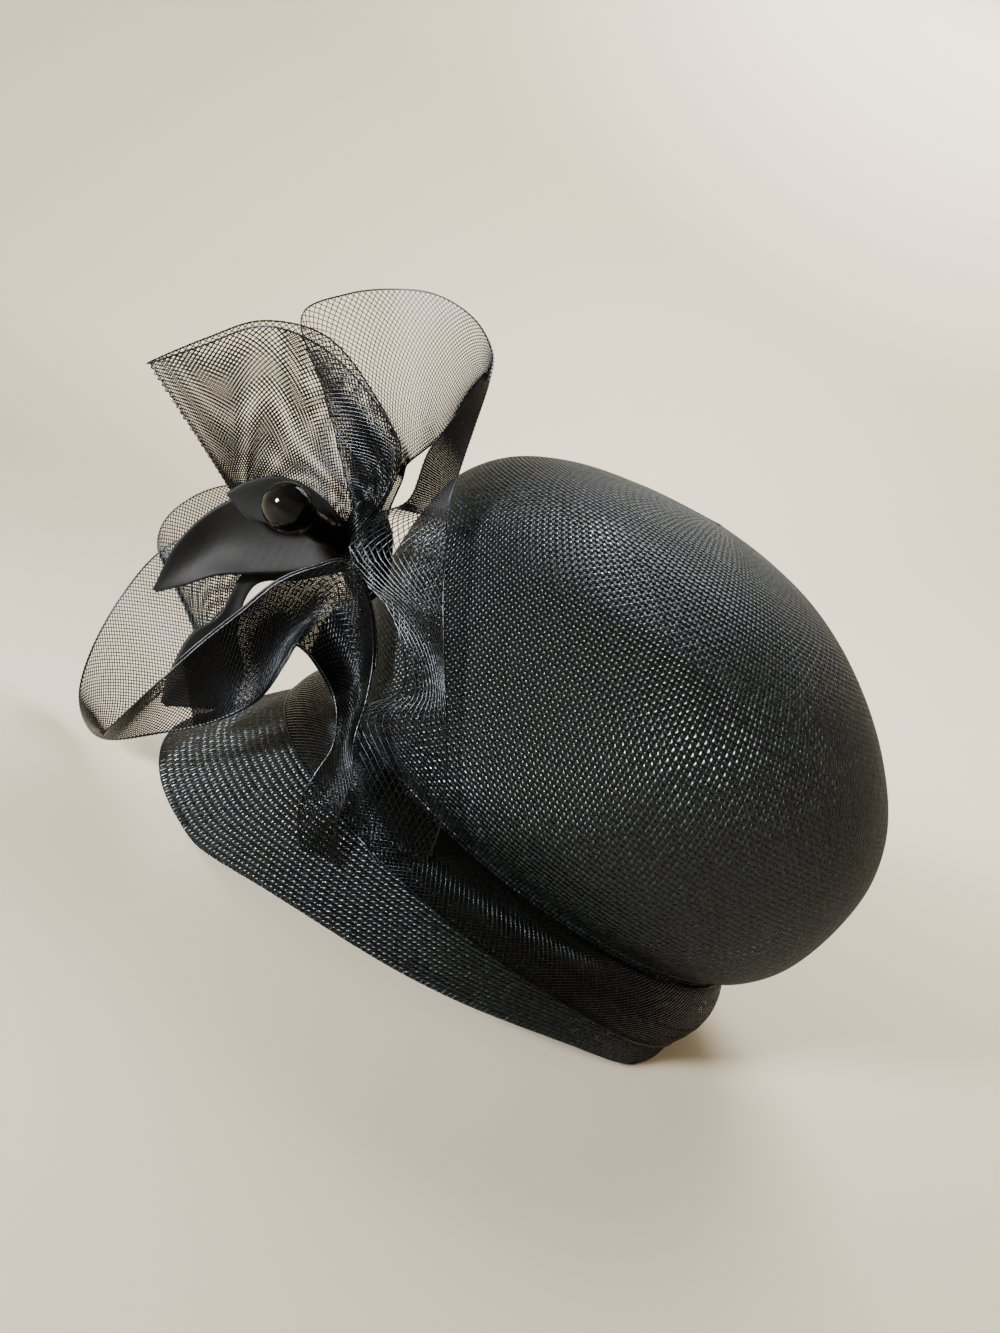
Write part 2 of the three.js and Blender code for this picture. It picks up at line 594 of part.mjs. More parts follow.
function buildBead(bow) {
  const bead = named('bead', new THREE.SphereGeometry(BEAD_RADIUS, BEAD_SIDES, BALL_RINGS), gloss);
  bead.position.copy(knotCentre).add(beadReach);
  bow.add(named('knot', knotBody(KNOT_RADIUS), crin), named('bead_neck', neckBody(0), crin), bead);
}

const hat = new THREE.Group();
const bow = new THREE.Group();
buildStraw(hat);
buildSheets(bow);
buildBead(bow);
hat.add(bow);

// The origin is on the ground, under the middle of the whole hat.
const box = new THREE.Box3().setFromObject(hat);
const middle = box.getCenter(new THREE.Vector3());
hat.position.set(-middle.x, -middle.y, -box.min.z);

export default hat;
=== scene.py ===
"""Looks of a black straw cloche hat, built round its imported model.

A bubble crown and a bell brim of woven parasisal straw, a band of sheer crin round the crown's
foot, and at the wearer's left front a bow of wide crin ribbon with satin petals and a glossy bead
on a wrapped neck. Shapes are worked out in millimetres round the head's centre line: +X is the
wearer's left, +Y the back and +Z up. Meshes are in metres and stand where the model stands.
"""

import logging
import math
from dataclasses import dataclass, field
from enum import Enum
from typing import Callable

import bmesh
import bpy
import numpy as np
from mathutils import Matrix, Vector


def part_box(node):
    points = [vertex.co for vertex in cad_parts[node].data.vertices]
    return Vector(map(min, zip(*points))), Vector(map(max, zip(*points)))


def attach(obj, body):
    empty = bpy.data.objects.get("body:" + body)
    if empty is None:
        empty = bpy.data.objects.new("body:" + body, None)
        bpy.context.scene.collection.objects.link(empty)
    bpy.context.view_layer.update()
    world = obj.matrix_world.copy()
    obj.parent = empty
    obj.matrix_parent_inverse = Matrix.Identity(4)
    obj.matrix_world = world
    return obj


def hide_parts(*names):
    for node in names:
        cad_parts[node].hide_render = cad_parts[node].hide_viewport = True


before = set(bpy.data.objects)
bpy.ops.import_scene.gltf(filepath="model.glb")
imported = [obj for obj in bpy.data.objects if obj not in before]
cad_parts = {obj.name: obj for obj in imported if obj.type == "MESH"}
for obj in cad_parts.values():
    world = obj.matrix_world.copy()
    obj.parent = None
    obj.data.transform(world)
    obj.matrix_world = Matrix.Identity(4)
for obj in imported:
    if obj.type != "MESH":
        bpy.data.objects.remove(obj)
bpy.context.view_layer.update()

LOG = logging.getLogger("cloche")
MM = 0.001
Surface = Callable[[np.ndarray, np.ndarray], np.ndarray]
Wrinkle = Callable[[np.ndarray, np.ndarray], np.ndarray]


class Slot(Enum):
    """The record's material slots."""

    STRAW = "straw"
    CRIN = "crin"
    SATIN = "satin"
    BEAD = "bead"


class Held(Enum):
    """How a sheet of cloth is held."""

    GATHERED = "gathered"
    FOLDED = "folded"


# Crown sections from the head ring up. Columns: rise is the share of the crown's height, swell goes
# from the head ring's reach (0) to the fullest (1), and front, back and side close it to the top.
CROWN_ROWS = np.array([
    (0.0, 0.0, 1.0, 1.0, 1.0),
    (0.03, 0.06, 1.0, 1.0, 1.0),
    (0.08, 0.42, 1.0, 1.0, 1.0),
    (0.18, 0.77, 1.0, 1.0, 1.0),
    (0.32, 0.96, 1.0, 1.0, 1.0),
    (0.46, 1.0, 1.0, 0.99, 1.0),
    (0.6, 1.0, 0.98, 0.92, 0.96),
    (0.74, 1.0, 0.93, 0.77, 0.86),
    (0.86, 1.0, 0.8, 0.58, 0.69),
    (0.94, 1.0, 0.6, 0.39, 0.48),
    (0.985, 1.0, 0.33, 0.19, 0.25),
    (1.0, 1.0, 0.0, 0.0, 0.0),
])

# Bell section from the rim up to the head ring. Columns: in and up are shares of the way.
BELL_ROWS = np.array([
    (0.0, 0.0),
    (0.15, 0.19),
    (0.35, 0.43),
    (0.58, 0.67),
    (0.8, 0.87),
    (1.0, 1.0),
])

# Ribbons and petals, a row for each place along them, from the knot. Columns: left, forward and up
# of one edge, the same of the other edge, and the belly between them, as shares of the width.
LOOP_FRONT_ROWS = np.array([
    (0.02, 0.05, 0.08, -0.01, 0.09, 0.03, 0.0),
    (0.09, 0.02, 0.4, -0.03, 0.18, 0.04, 0.04),
    (0.12, 0.07, 0.61, -0.06, 0.31, 0.0, 0.08),
    (0.15, 0.3, 0.76, -0.08, 0.43, -0.03, 0.08),
    (0.18, 0.64, 0.86, -0.1, 0.53, -0.05, 0.07),
    (0.15, 0.95, 0.81, -0.12, 0.63, -0.07, 0.05),
    (0.06, 1.22, 0.55, -0.14, 0.7, -0.09, 0.03),
    (-0.06, 1.46, 0.32, -0.17, 0.76, -0.1, 0.0),
    (-0.18, 1.28, 0.58, -0.19, 0.71, -0.1, 0.02),
    (-0.24, 1.07, 0.81, -0.24, 0.64, -0.1, 0.04),
    (-0.29, 0.75, 0.91, -0.27, 0.53, -0.07, 0.04),
    (-0.29, 0.39, 0.78, -0.24, 0.38, -0.03, 0.04),
    (-0.24, 0.11, 0.57, -0.18, 0.24, 0.02, 0.02),
    (-0.03, 0.05, 0.09, -0.04, 0.09, 0.03, 0.0),
])
LOOP_HIGH_ROWS = np.array([
    (-0.09, 0.0, 0.06, -0.07, -0.05, 0.06, 0.0),
    (-0.39, 0.26, 0.22, -0.33, 0.0, 0.26, 0.0),
    (-0.55, 0.63, 0.59, -0.45, 0.02, 0.42, 0.0),
    (-0.61, 0.98, 0.94, -0.48, 0.04, 0.5, 0.0),
    (-0.64, 0.82, 1.16, -0.48, 0.03, 0.54, 0.0),
    (-0.61, 0.61, 1.31, -0.45, 0.0, 0.61, 0.0),
    (-0.52, 0.36, 1.41, -0.36, -0.04, 0.71, 0.0),
    (-0.39, 0.11, 1.4, -0.24, -0.08, 0.87, 0.0),
    (-0.18, -0.08, 1.29, -0.15, -0.11, 1.02, 0.0),
    (0.06, -0.15, 1.14, -0.06, -0.13, 1.13, 0.0),
    (0.24, -0.2, 0.91, 0.0, -0.09, 0.92, 0.0),
    (0.39, -0.25, 0.66, 0.03, -0.05, 0.68, 0.0),
    (0.45, -0.29, 0.49, 0.06, -0.08, 0.39, 0.0),
])
SASH_ROWS = np.array([
    (0.55, -0.35, 0.4, 0.18, 0.03, 0.25, 0.0),
    (0.64, -0.41, 0.28, 0.3, 0.06, 0.07, -0.02),
    (0.71, -0.47, 0.16, 0.36, -0.08, -0.04, -0.04),
    (0.77, -0.54, 0.04, 0.45, -0.25, -0.08, -0.05),
    (0.82, -0.62, -0.09, 0.55, -0.4, -0.18, -0.05),
    (0.85, -0.72, -0.25, 0.6, -0.52, -0.38, -0.04),
    (0.86, -0.82, -0.42, 0.55, -0.34, -0.67, -0.02),
    (0.86, -0.93, -0.62, 0.63, -0.43, -0.84, 0.0),
    (0.85, -1.02, -0.85, 0.71, -0.6, -1.03, 0.02),
    (0.83, -1.05, -1.03, 0.78, -0.83, -1.2, 0.02),
])
LOOP_LOW_ROWS = np.array([
    (-0.05, 0.09, -0.04, -0.03, 0.04, -0.08, 0.0),
    (-0.3, 0.59, -0.19, -0.18, 0.42, -0.34, 0.0),
    (-0.39, 0.88, -0.4, -0.21, 0.52, -0.54, 0.0),
    (-0.39, 1.05, -0.64, -0.18, 0.54, -0.81, 0.0),
    (-0.33, 1.12, -0.98, -0.09, 0.58, -1.12, 0.0),
    (-0.18, 1.1, -1.3, 0.06, 0.66, -1.39, 0.0),
    (-0.03, 1.02, -1.49, 0.24, 0.73, -1.49, 0.0),
    (0.12, 0.89, -1.56, 0.42, 0.7, -1.43, 0.0),
    (0.27, 0.73, -1.53, 0.52, 0.66, -1.3, 0.0),
    (0.39, 0.46, -1.3, 0.55, 0.57, -1.02, 0.03),
    (0.42, 0.24, -1.09, 0.48, 0.47, -0.72, 0.06),
])
CURL_ROWS = np.array([
    (0.42, 0.1, -0.87, 0.45, 0.37, -0.48, 0.1),
    (0.45, 0.07, -0.6, 0.42, 0.27, -0.24, 0.12),
    (0.48, 0.06, -0.48, 0.42, 0.14, -0.08, 0.12),
    (0.5, -0.02, -0.48, 0.42, 0.03, 0.01, 0.12),
    (0.52, -0.12, -0.52, 0.42, -0.15, -0.1, 0.1),
    (0.55, -0.22, -0.58, 0.48, -0.31, -0.31, 0.08),
    (0.61, -0.3, -0.66, 0.58, -0.4, -0.53, 0.05),
    (0.67, -0.36, -0.8, 0.67, -0.44, -0.7, 0.04),
    (0.73, -0.35, -0.96, 0.74, -0.53, -0.89, 0.03),
    (0.77, -0.36, -1.13, 0.8, -0.57, -1.09, 0.02),
    (0.8, -0.47, -1.31, 0.84, -0.68, -1.28, 0.02),
])
FLAP_ROWS = np.array([
    (-0.1, 0.05, 0.0, -0.08, 0.06, -0.04, 0.0),
    (-0.48, 0.57, 0.04, -0.39, 0.27, -0.25, 0.02),
    (-0.58, 0.91, -0.13, -0.45, 0.48, -0.48, 0.03),
    (-0.61, 1.08, -0.32, -0.45, 0.55, -0.7, 0.03),
    (-0.58, 1.15, -0.51, -0.42, 0.6, -0.86, 0.02),
    (-0.52, 1.11, -0.65, -0.39, 0.59, -0.99, 0.0),
    (-0.39, 0.91, -0.76, -0.33, 0.59, -1.01, 0.0),
])
PETAL_LONG_ROWS = np.array([
    (0.02, 0.09, 0.0, 0.03, 0.06, -0.07, 0.0),
    (0.01, 0.31, 0.09, 0.04, 0.15, -0.16, 0.03),
    (0.0, 0.53, 0.08, 0.03, 0.31, -0.29, 0.04),
    (0.0, 0.71, -0.04, 0.03, 0.47, -0.39, 0.05),
    (0.0, 0.83, -0.22, 0.04, 0.63, -0.49, 0.06),
    (0.01, 0.9, -0.46, 0.02, 0.75, -0.62, 0.03),
    (-0.02, 0.91, -0.74, -0.02, 0.88, -0.75, 0.0),
])
PETAL_TOP_ROWS = np.array([
    (0.04, 0.05, 0.06, 0.03, 0.07, 0.04, 0.0),
    (0.08, 0.37, 0.19, 0.03, 0.19, 0.09, 0.01),
    (0.09, 0.56, 0.17, 0.09, 0.41, -0.04, 0.02),
    (0.09, 0.7, 0.06, 0.09, 0.59, -0.11, 0.01),
    (0.08, 0.77, -0.05, 0.08, 0.74, -0.07, 0.0),
])
PETAL_LOW_ROWS = np.array([
    (0.01, 0.04, -0.08, 0.02, 0.0, -0.09, 0.0),
    (-0.03, 0.29, -0.24, -0.03, 0.23, -0.3, 0.0),
    (-0.04, 0.51, -0.4, -0.04, 0.43, -0.45, 0.0),
    (-0.02, 0.53, -0.7, -0.02, 0.4, -0.72, 0.02),
    (0.02, 0.61, -0.85, 0.04, 0.26, -0.89, 0.04),
    (0.08, 0.61, -1.07, 0.1, 0.23, -1.08, 0.04),
    (0.14, 0.57, -1.24, 0.14, 0.53, -1.25, 0.0),
])
PETAL_BACK_ROWS = np.array([
    (-0.06, 0.03, 0.08, -0.05, -0.01, 0.09, 0.0),
    (-0.28, 0.24, 0.24, -0.26, 0.06, 0.26, 0.02),
    (-0.36, 0.34, 0.42, -0.34, 0.1, 0.44, 0.03),
    (-0.37, 0.41, 0.57, -0.37, 0.25, 0.55, 0.02),
    (-0.37, 0.45, 0.66, -0.37, 0.42, 0.65, 0.0),
])


def linear(colour: str) -> tuple[float, float, float, float]:
    """An sRGB hex colour as the linear colour that shaders take.

    Args:
        colour: six hex digits after a hash sign.

    Returns:
        Red, green and blue in linear light, and full alpha.
    """
    shares = [int(colour[i : i + 2], 16) / 255 for i in (1, 3, 5)]
    bent = [s / 12.92 if s <= 0.04045 else ((s + 0.055) / 1.055) ** 2.4 for s in shares]
    return (*bent, 1.0)


def unit(vectors: np.ndarray) -> np.ndarray:
    """Vectors scaled to length one, and left at zero where they have none."""
    length = np.linalg.norm(vectors, axis=-1, keepdims=True)
    return vectors / np.maximum(length, 1e-9)


def through_rows(rows: np.ndarray, t: np.ndarray) -> np.ndarray:
    """Cubic through evenly spaced rows: each span leaves a row with half the step across it.

    Args:
        rows: one row of columns for each station.
        t: places from 0 at the first row to 1 at the last.

    Returns:
        The columns at each place.
    """
    last = len(rows) - 1
    at = np.clip(t, 0, 1) * last
    i = np.minimum(at.astype(int), last - 1)
    f = (at - i)[..., None]
    before, start, end, after = (rows[np.clip(i + k, 0, last)] for k in (-1, 0, 1, 2))
    return hermite(start, end, (end - before) / 2, (after - start) / 2, f)


def hermite(
    start: np.ndarray, end: np.ndarray, leave: np.ndarray, arrive: np.ndarray, f: np.ndarray
) -> np.ndarray:
    """The cubic between two places that has a given slope at each.

    Args:
        start: where it starts.
        end: where it ends.
        leave: its slope at the start.
        arrive: its slope at the end.
        f: shares of the way.

    Returns:
        The cubic at those shares.
    """
    bend = 2 * start - 2 * end + leave + arrive
    turn = -3 * start + 3 * end - 2 * leave - arrive
    return ((bend * f + turn) * f + leave) * f + start


def along_curve(points: np.ndarray, t: np.ndarray) -> np.ndarray:
    """Smooth curve through points, whose spans are timed by the square root of their length.

    Args:
        points: the points that the curve passes, in order.
        t: places from 0 at the first point to 1 at the last.

    Returns:
        The curve's points at those places.
    """
    more = np.vstack([2 * points[0] - points[1], points, 2 * points[-1] - points[-2]])
    last = len(points) - 1
    at = np.clip(t, 0, 1) * last
    i = np.minimum(at.astype(int), last - 1)
    p0, p1, p2, p3 = (more[i + k] for k in range(4))
    pairs = ((p0, p1), (p1, p2), (p2, p3))
    d0, d1, d2 = (np.sqrt(np.linalg.norm(b - a, axis=-1, keepdims=True)) for a, b in pairs)
    leave = ((p1 - p0) / d0 - (p2 - p0) / (d0 + d1) + (p2 - p1) / d1) * d1
    arrive = ((p2 - p1) / d1 - (p3 - p1) / (d1 + d2) + (p3 - p2) / d2) * d1
    return hermite(p1, p2, leave, arrive, (at - i)[..., None])


def grid_normals(points: np.ndarray, joined: bool) -> np.ndarray:
    """Unit normals of a grid of points: the step along the first side crossed with the second's.

    Args:
        points: a grid of points, rows by columns.
        joined: whether the last row is followed by the first.

    Returns:
        A normal for each point.
    """
    if joined:
        along = np.roll(points, -1, axis=0) - np.roll(points, 1, axis=0)
    else:
        along = np.gradient(points, axis=0)
    return unit(np.cross(along, np.gradient(points, axis=1)))


@dataclass
class HatForm:
    """The hat's sizes in millimetres, and its round surfaces."""

    straw_wall: float = 1.8
    crin_wall: float = 1.0
    gap: float = 0.3
    head_front: float = 95
    head_back: float = 98
    head_side: float = 82
    head_height: float = 39
    head_fall: float = 25
    collar_height: float = 7
    crown_front: float = 105
    crown_back: float = 126
    crown_side: float = 104
    crown_height: float = 143
    rim_long: float = 121
    rim_side: float = 109
    rim_forward: float = 28
    rim_arch: float = 12
    rim_flat: float = 0.62
    band_width: float = 27
    band_rise: float = 2
    band_puff: float = 5
    band_most: float = 0.85

    @property
    def head_slope(self) -> float:
        """How far the head ring falls for each millimetre towards the back."""
        return self.head_fall / (self.head_front + self.head_back)

    def oval(self, turn: np.ndarray, front: np.ndarray, back: np.ndarray, side: np.ndarray) -> np.ndarray:
        """An oval round the centre line: side times the sine, and front or back times the cosine.

        Args:
            turn: places round the hat from 0 to 1, from the front over the left.
            front: its reach to the front.
            back: its reach to the back.
            side: its reach to either side.

        Returns:
            The oval's points, level.
        """
        forward = np.cos(2 * np.pi * turn)
        reach = np.where(forward > 0, front, back)
        return np.stack([side * np.sin(2 * np.pi * turn), -forward * reach, 0 * forward], axis=-1)

    def head_ring(self, turn: np.ndarray, grow: float = 0) -> np.ndarray:
        """The ring where crown and brim meet, on a plane that falls to the back.

        Args:
            turn: places round the hat.
            grow: how much further out it lies.

        Returns:
            The ring's points.
        """
        ring = self.oval(turn, self.head_front + grow, self.head_back + grow, self.head_side + grow)
        ring[..., 2] = self.head_height - self.head_slope * ring[..., 1]
        return ring

    def crown(self, turn: np.ndarray, t: np.ndarray) -> np.ndarray:
        """The crown's outer face: the head ring's oval swells with the rows, closes and levels out.

        Args:
            turn: places round the hat.
            t: places up the crown from 0 to 1.

        Returns:
            The face's points.
        """
        rise, swell, front, back, side = np.moveaxis(through_rows(CROWN_ROWS, t), -1, 0)
        section = self.oval(
            turn,
            (self.head_front + (self.crown_front - self.head_front) * swell) * front,
            (self.head_back + (self.crown_back - self.head_back) * swell) * back,
            (self.head_side + (self.crown_side - self.head_side) * swell) * side,
        )
        fall = self.head_slope * section[..., 1] * (1 - rise)
        section[..., 2] = self.head_height + self.crown_height * rise - fall
        return section

    def rim(self, turn: np.ndarray) -> np.ndarray:
        """The brim's edge: an oval ahead of the head's, arched up at its sides by a smooth step.

        Args:
            turn: places round the hat.

        Returns:
            The edge's points.
        """
        edge = self.oval(turn, self.rim_long, self.rim_long, self.rim_side)
        edge[..., 1] -= self.rim_forward
        share = np.clip((np.abs(np.sin(2 * np.pi * turn)) - self.rim_flat) / (1 - self.rim_flat), 0, 1)
        edge[..., 2] = self.rim_arch * share**2 * (3 - 2 * share)
        return edge

    def bell(self, turn: np.ndarray, t: np.ndarray) -> np.ndarray:
        """The brim's outer face: from the rim to just under the crown, in and up as the rows say.

        Args:
            turn: places round the hat.
            t: places up the bell from 0 at the rim to 1.

        Returns:
            The face's points.
        """
        inward, upward = np.moveaxis(through_rows(BELL_ROWS, t), -1, 0)
        rim = self.rim(turn)
        foot = self.head_ring(turn, -self.straw_wall - self.gap)
        foot[..., 2] -= self.gap
        share = np.stack([inward, inward, upward], axis=-1)
        return rim + (foot - rim) * share

    def collar(self, turn: np.ndarray, t: np.ndarray) -> np.ndarray:
        """The brim's upright collar inside the crown: the bell's foot, raised by a share.

        Args:
            turn: places round the hat.
            t: shares of the collar's height.

        Returns:
            The collar's points.
        """
        foot = self.bell(turn, np.ones_like(t))
        foot[..., 2] += self.collar_height * t
        return foot

    def band(self, turn: np.ndarray, t: np.ndarray) -> np.ndarray:
        """The band's outer face: straight from the bell to the crown's foot, puffed out by a sine.

        Args:
            turn: places round the hat.
            t: places across the band from 0 at its low edge to 1.

        Returns:
            The face's points.
        """
        zero = np.zeros_like(turn)
        wide = np.linalg.norm(self.bell(turn, zero) - self.bell(turn, zero + 1), axis=-1)
        share = 1 - np.minimum(self.band_width / wide, self.band_most)
        step = 0.002
        across = self.bell(turn + step, share) - self.bell(turn - step, share)
        upward = self.bell(turn, share + step) - self.bell(turn, share - step)
        out = unit(np.cross(across, upward))
        low = self.bell(turn, share) + out * (self.gap + self.crin_wall)
        top = self.head_ring(turn, self.gap + self.crin_wall)
        top[..., 2] += self.band_rise
        puff = self.band_puff * np.sin(np.pi * t)[..., None]
        return low + (top - low) * t[..., None] + out * puff


@dataclass
class BowForm:
    """The bow's sizes and places in millimetres."""

    crin_width: float = 66
    knot_left: float = 34
    knot_forward: float = 114
    knot_height: float = 108
    knot_radius: float = 8
    petal_size: float = 66
    petal_wall: float = 1.2
    bead_radius: float = 8.6
    bead_left: float = 20
    bead_forward: float = 28
    bead_up: float = 5.5
    neck_radius: float = 4.2
    neck_tip_radius: float = 5.4
    gap: float = 0.3

    @property
    def knot(self) -> np.ndarray:
        """The knot's middle."""
        return np.array([self.knot_left, -self.knot_forward, self.knot_height])

    @property
    def bead_reach(self) -> np.ndarray:
        """The way from the knot's middle to the bead's."""
        return np.array([self.bead_left, -self.bead_forward, self.bead_up])

    def strip(self, rows: np.ndarray, scale: float, along: int, across: int) -> np.ndarray:
        """A ribbon's or petal's face: two edge curves, straight lines between them, and a belly.

        The point at share v across is the first edge plus v times the way to the other, plus the
        belly times the sine of half a turn of v, square to both the edges and the lines.

        Args:
            rows: the table of its edges and belly, as shares of the scale.
            scale: millimetres for a share of one.
            along: spans along it.
            across: spans across it.

        Returns:
            A grid of points in millimetres, along by across.
        """
        u = np.linspace(0, 1, along + 1)
        v = np.linspace(0, 1, across + 1)[None, :, None]
        toward = np.array([1, -1, 1]) * scale
        first = along_curve(rows[:, 0:3] * toward + self.knot, u)
        other = along_curve(rows[:, 3:6] * toward + self.knot, u)
        tangent = unit(np.gradient(first, axis=0)) + unit(np.gradient(other, axis=0))
        out = unit(np.cross(other - first, tangent))[:, None, :]
        belly = through_rows(rows[:, 6:7], u)[:, None, :] * scale
        return first[:, None, :] + (other - first)[:, None, :] * v + out * belly * np.sin(np.pi * v)


HAT = HatForm()
BOW = BowForm()


def hat_origin() -> np.ndarray:
    """Where the head's centre line meets the ground in the model's frame, in millimetres."""
    low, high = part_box("bead")
    middle = np.array((low + high) / 2) / MM
    return middle - BOW.knot - BOW.bead_reach


ORIGIN = hat_origin()


@dataclass
class Mesh:
    """Points in millimetres and faces, gathered from several parts."""

    points: list = field(default_factory=list)
    faces: list = field(default_factory=list)
    weave: list = field(default_factory=list)
    count: int = 0

    def add(self, points: np.ndarray, faces: np.ndarray, weave: np.ndarray | None = None) -> None:
        """Adds points and the faces on them.

        Args:
            points: any grid of points.
            faces: rows of three or four indices into those points.
            weave: a pair of pattern coordinates for each corner of each face.
        """
        flat = points.reshape(-1, 3)
        self.points.append(flat)
        self.faces.append(faces + self.count)
        corners = faces.size
        self.weave.append(np.zeros((corners, 2)) if weave is None else weave.reshape(-1, 2))
        self.count += len(flat)

    def object(self, name: str, merge: bool = False) -> bpy.types.Object:
        """A Blender object of the gathered faces, smooth, in metres, in the model's frame.

        Args:
            name: the piece's name.
            merge: whether points that coincide become one, as at poles and seams.

        Returns:
            The linked object.
        """
        points = (np.vstack(self.points) + ORIGIN) * MM
        corner_counts = np.concatenate([np.full(len(f), f.shape[1]) for f in self.faces])
        corners = np.concatenate([f.ravel() for f in self.faces])
        starts = np.concatenate([[0], np.cumsum(corner_counts)[:-1]])
        mesh = bpy.data.meshes.new(name)
        mesh.vertices.add(len(points))
        mesh.vertices.foreach_set("co", points.astype(np.float32).ravel())
        mesh.loops.add(len(corners))
        mesh.loops.foreach_set("vertex_index", corners.astype(np.int32))
        mesh.polygons.add(len(starts))
        mesh.polygons.foreach_set("loop_start", starts.astype(np.int32))
        mesh.polygons.foreach_set("loop_total", corner_counts.astype(np.int32))
        mesh.update(calc_edges=True)
        layer = mesh.uv_layers.new(name="weave")
        layer.uv.foreach_set("vector", np.vstack(self.weave).astype(np.float32).ravel())
        if merge:
            self.merge_doubles(mesh)
        mesh.shade_smooth()
        piece = bpy.data.objects.new(name, mesh)
        bpy.context.scene.collection.objects.link(piece)
        return piece

    @staticmethod
    def merge_doubles(mesh: bpy.types.Mesh) -> None:
        """Makes points that coincide one, and turns every face outwards.

        Args:
            mesh: the mesh, in metres.
        """
        work = bmesh.new()
        work.from_mesh(mesh)
        bmesh.ops.remove_doubles(work, verts=work.verts, dist=1e-6)
        bmesh.ops.recalc_face_normals(work, faces=work.faces)
        work.to_mesh(mesh)
        work.free()


def grid_faces(rows: int, columns: int, joined: bool) -> np.ndarray:
    """Quads between the points of a grid.

    Args:
        rows: the grid's rows.
        columns: its columns.
        joined: whether the last column is joined to the first.

    Returns:
        Four indices for each quad.
    """
    spans = columns if joined else columns - 1
    row, column = np.meshgrid(np.arange(rows - 1), np.arange(spans), indexing="ij")
    beside = (column + 1) % columns
    here, above = row * columns, (row + 1) * columns
    return np.stack([here + column, here + beside, above + beside, above + column], axis=-1).reshape(-1, 4)


@dataclass(frozen=True)
class Relief:
    """Slow unevenness of a blocked straw body: a few waves that close round the hat."""

    depth: float = 0.35
    waves: tuple = ((3, 1.7, 0.3), (5, 2.9, 1.1), (8, 4.3, 2.0), (13, 6.1, 0.7), (21, 9.7, 1.9))

    def at(self, turn: np.ndarray, t: np.ndarray) -> np.ndarray:
        """Height at each place: waves of ever shorter length, each weaker than the last.

        Args:
            turn: places round the hat.
            t: places up the surface.

        Returns:
            Heights in millimetres.
        """
        total = np.zeros(np.broadcast(turn, t).shape)
        for k, (around, upward, shift) in enumerate(self.waves):
            wave = np.sin(2 * np.pi * around * turn + shift) * np.sin(np.pi * upward * t + 2 * shift)
            total += wave / (k + 1)
        return self.depth * total


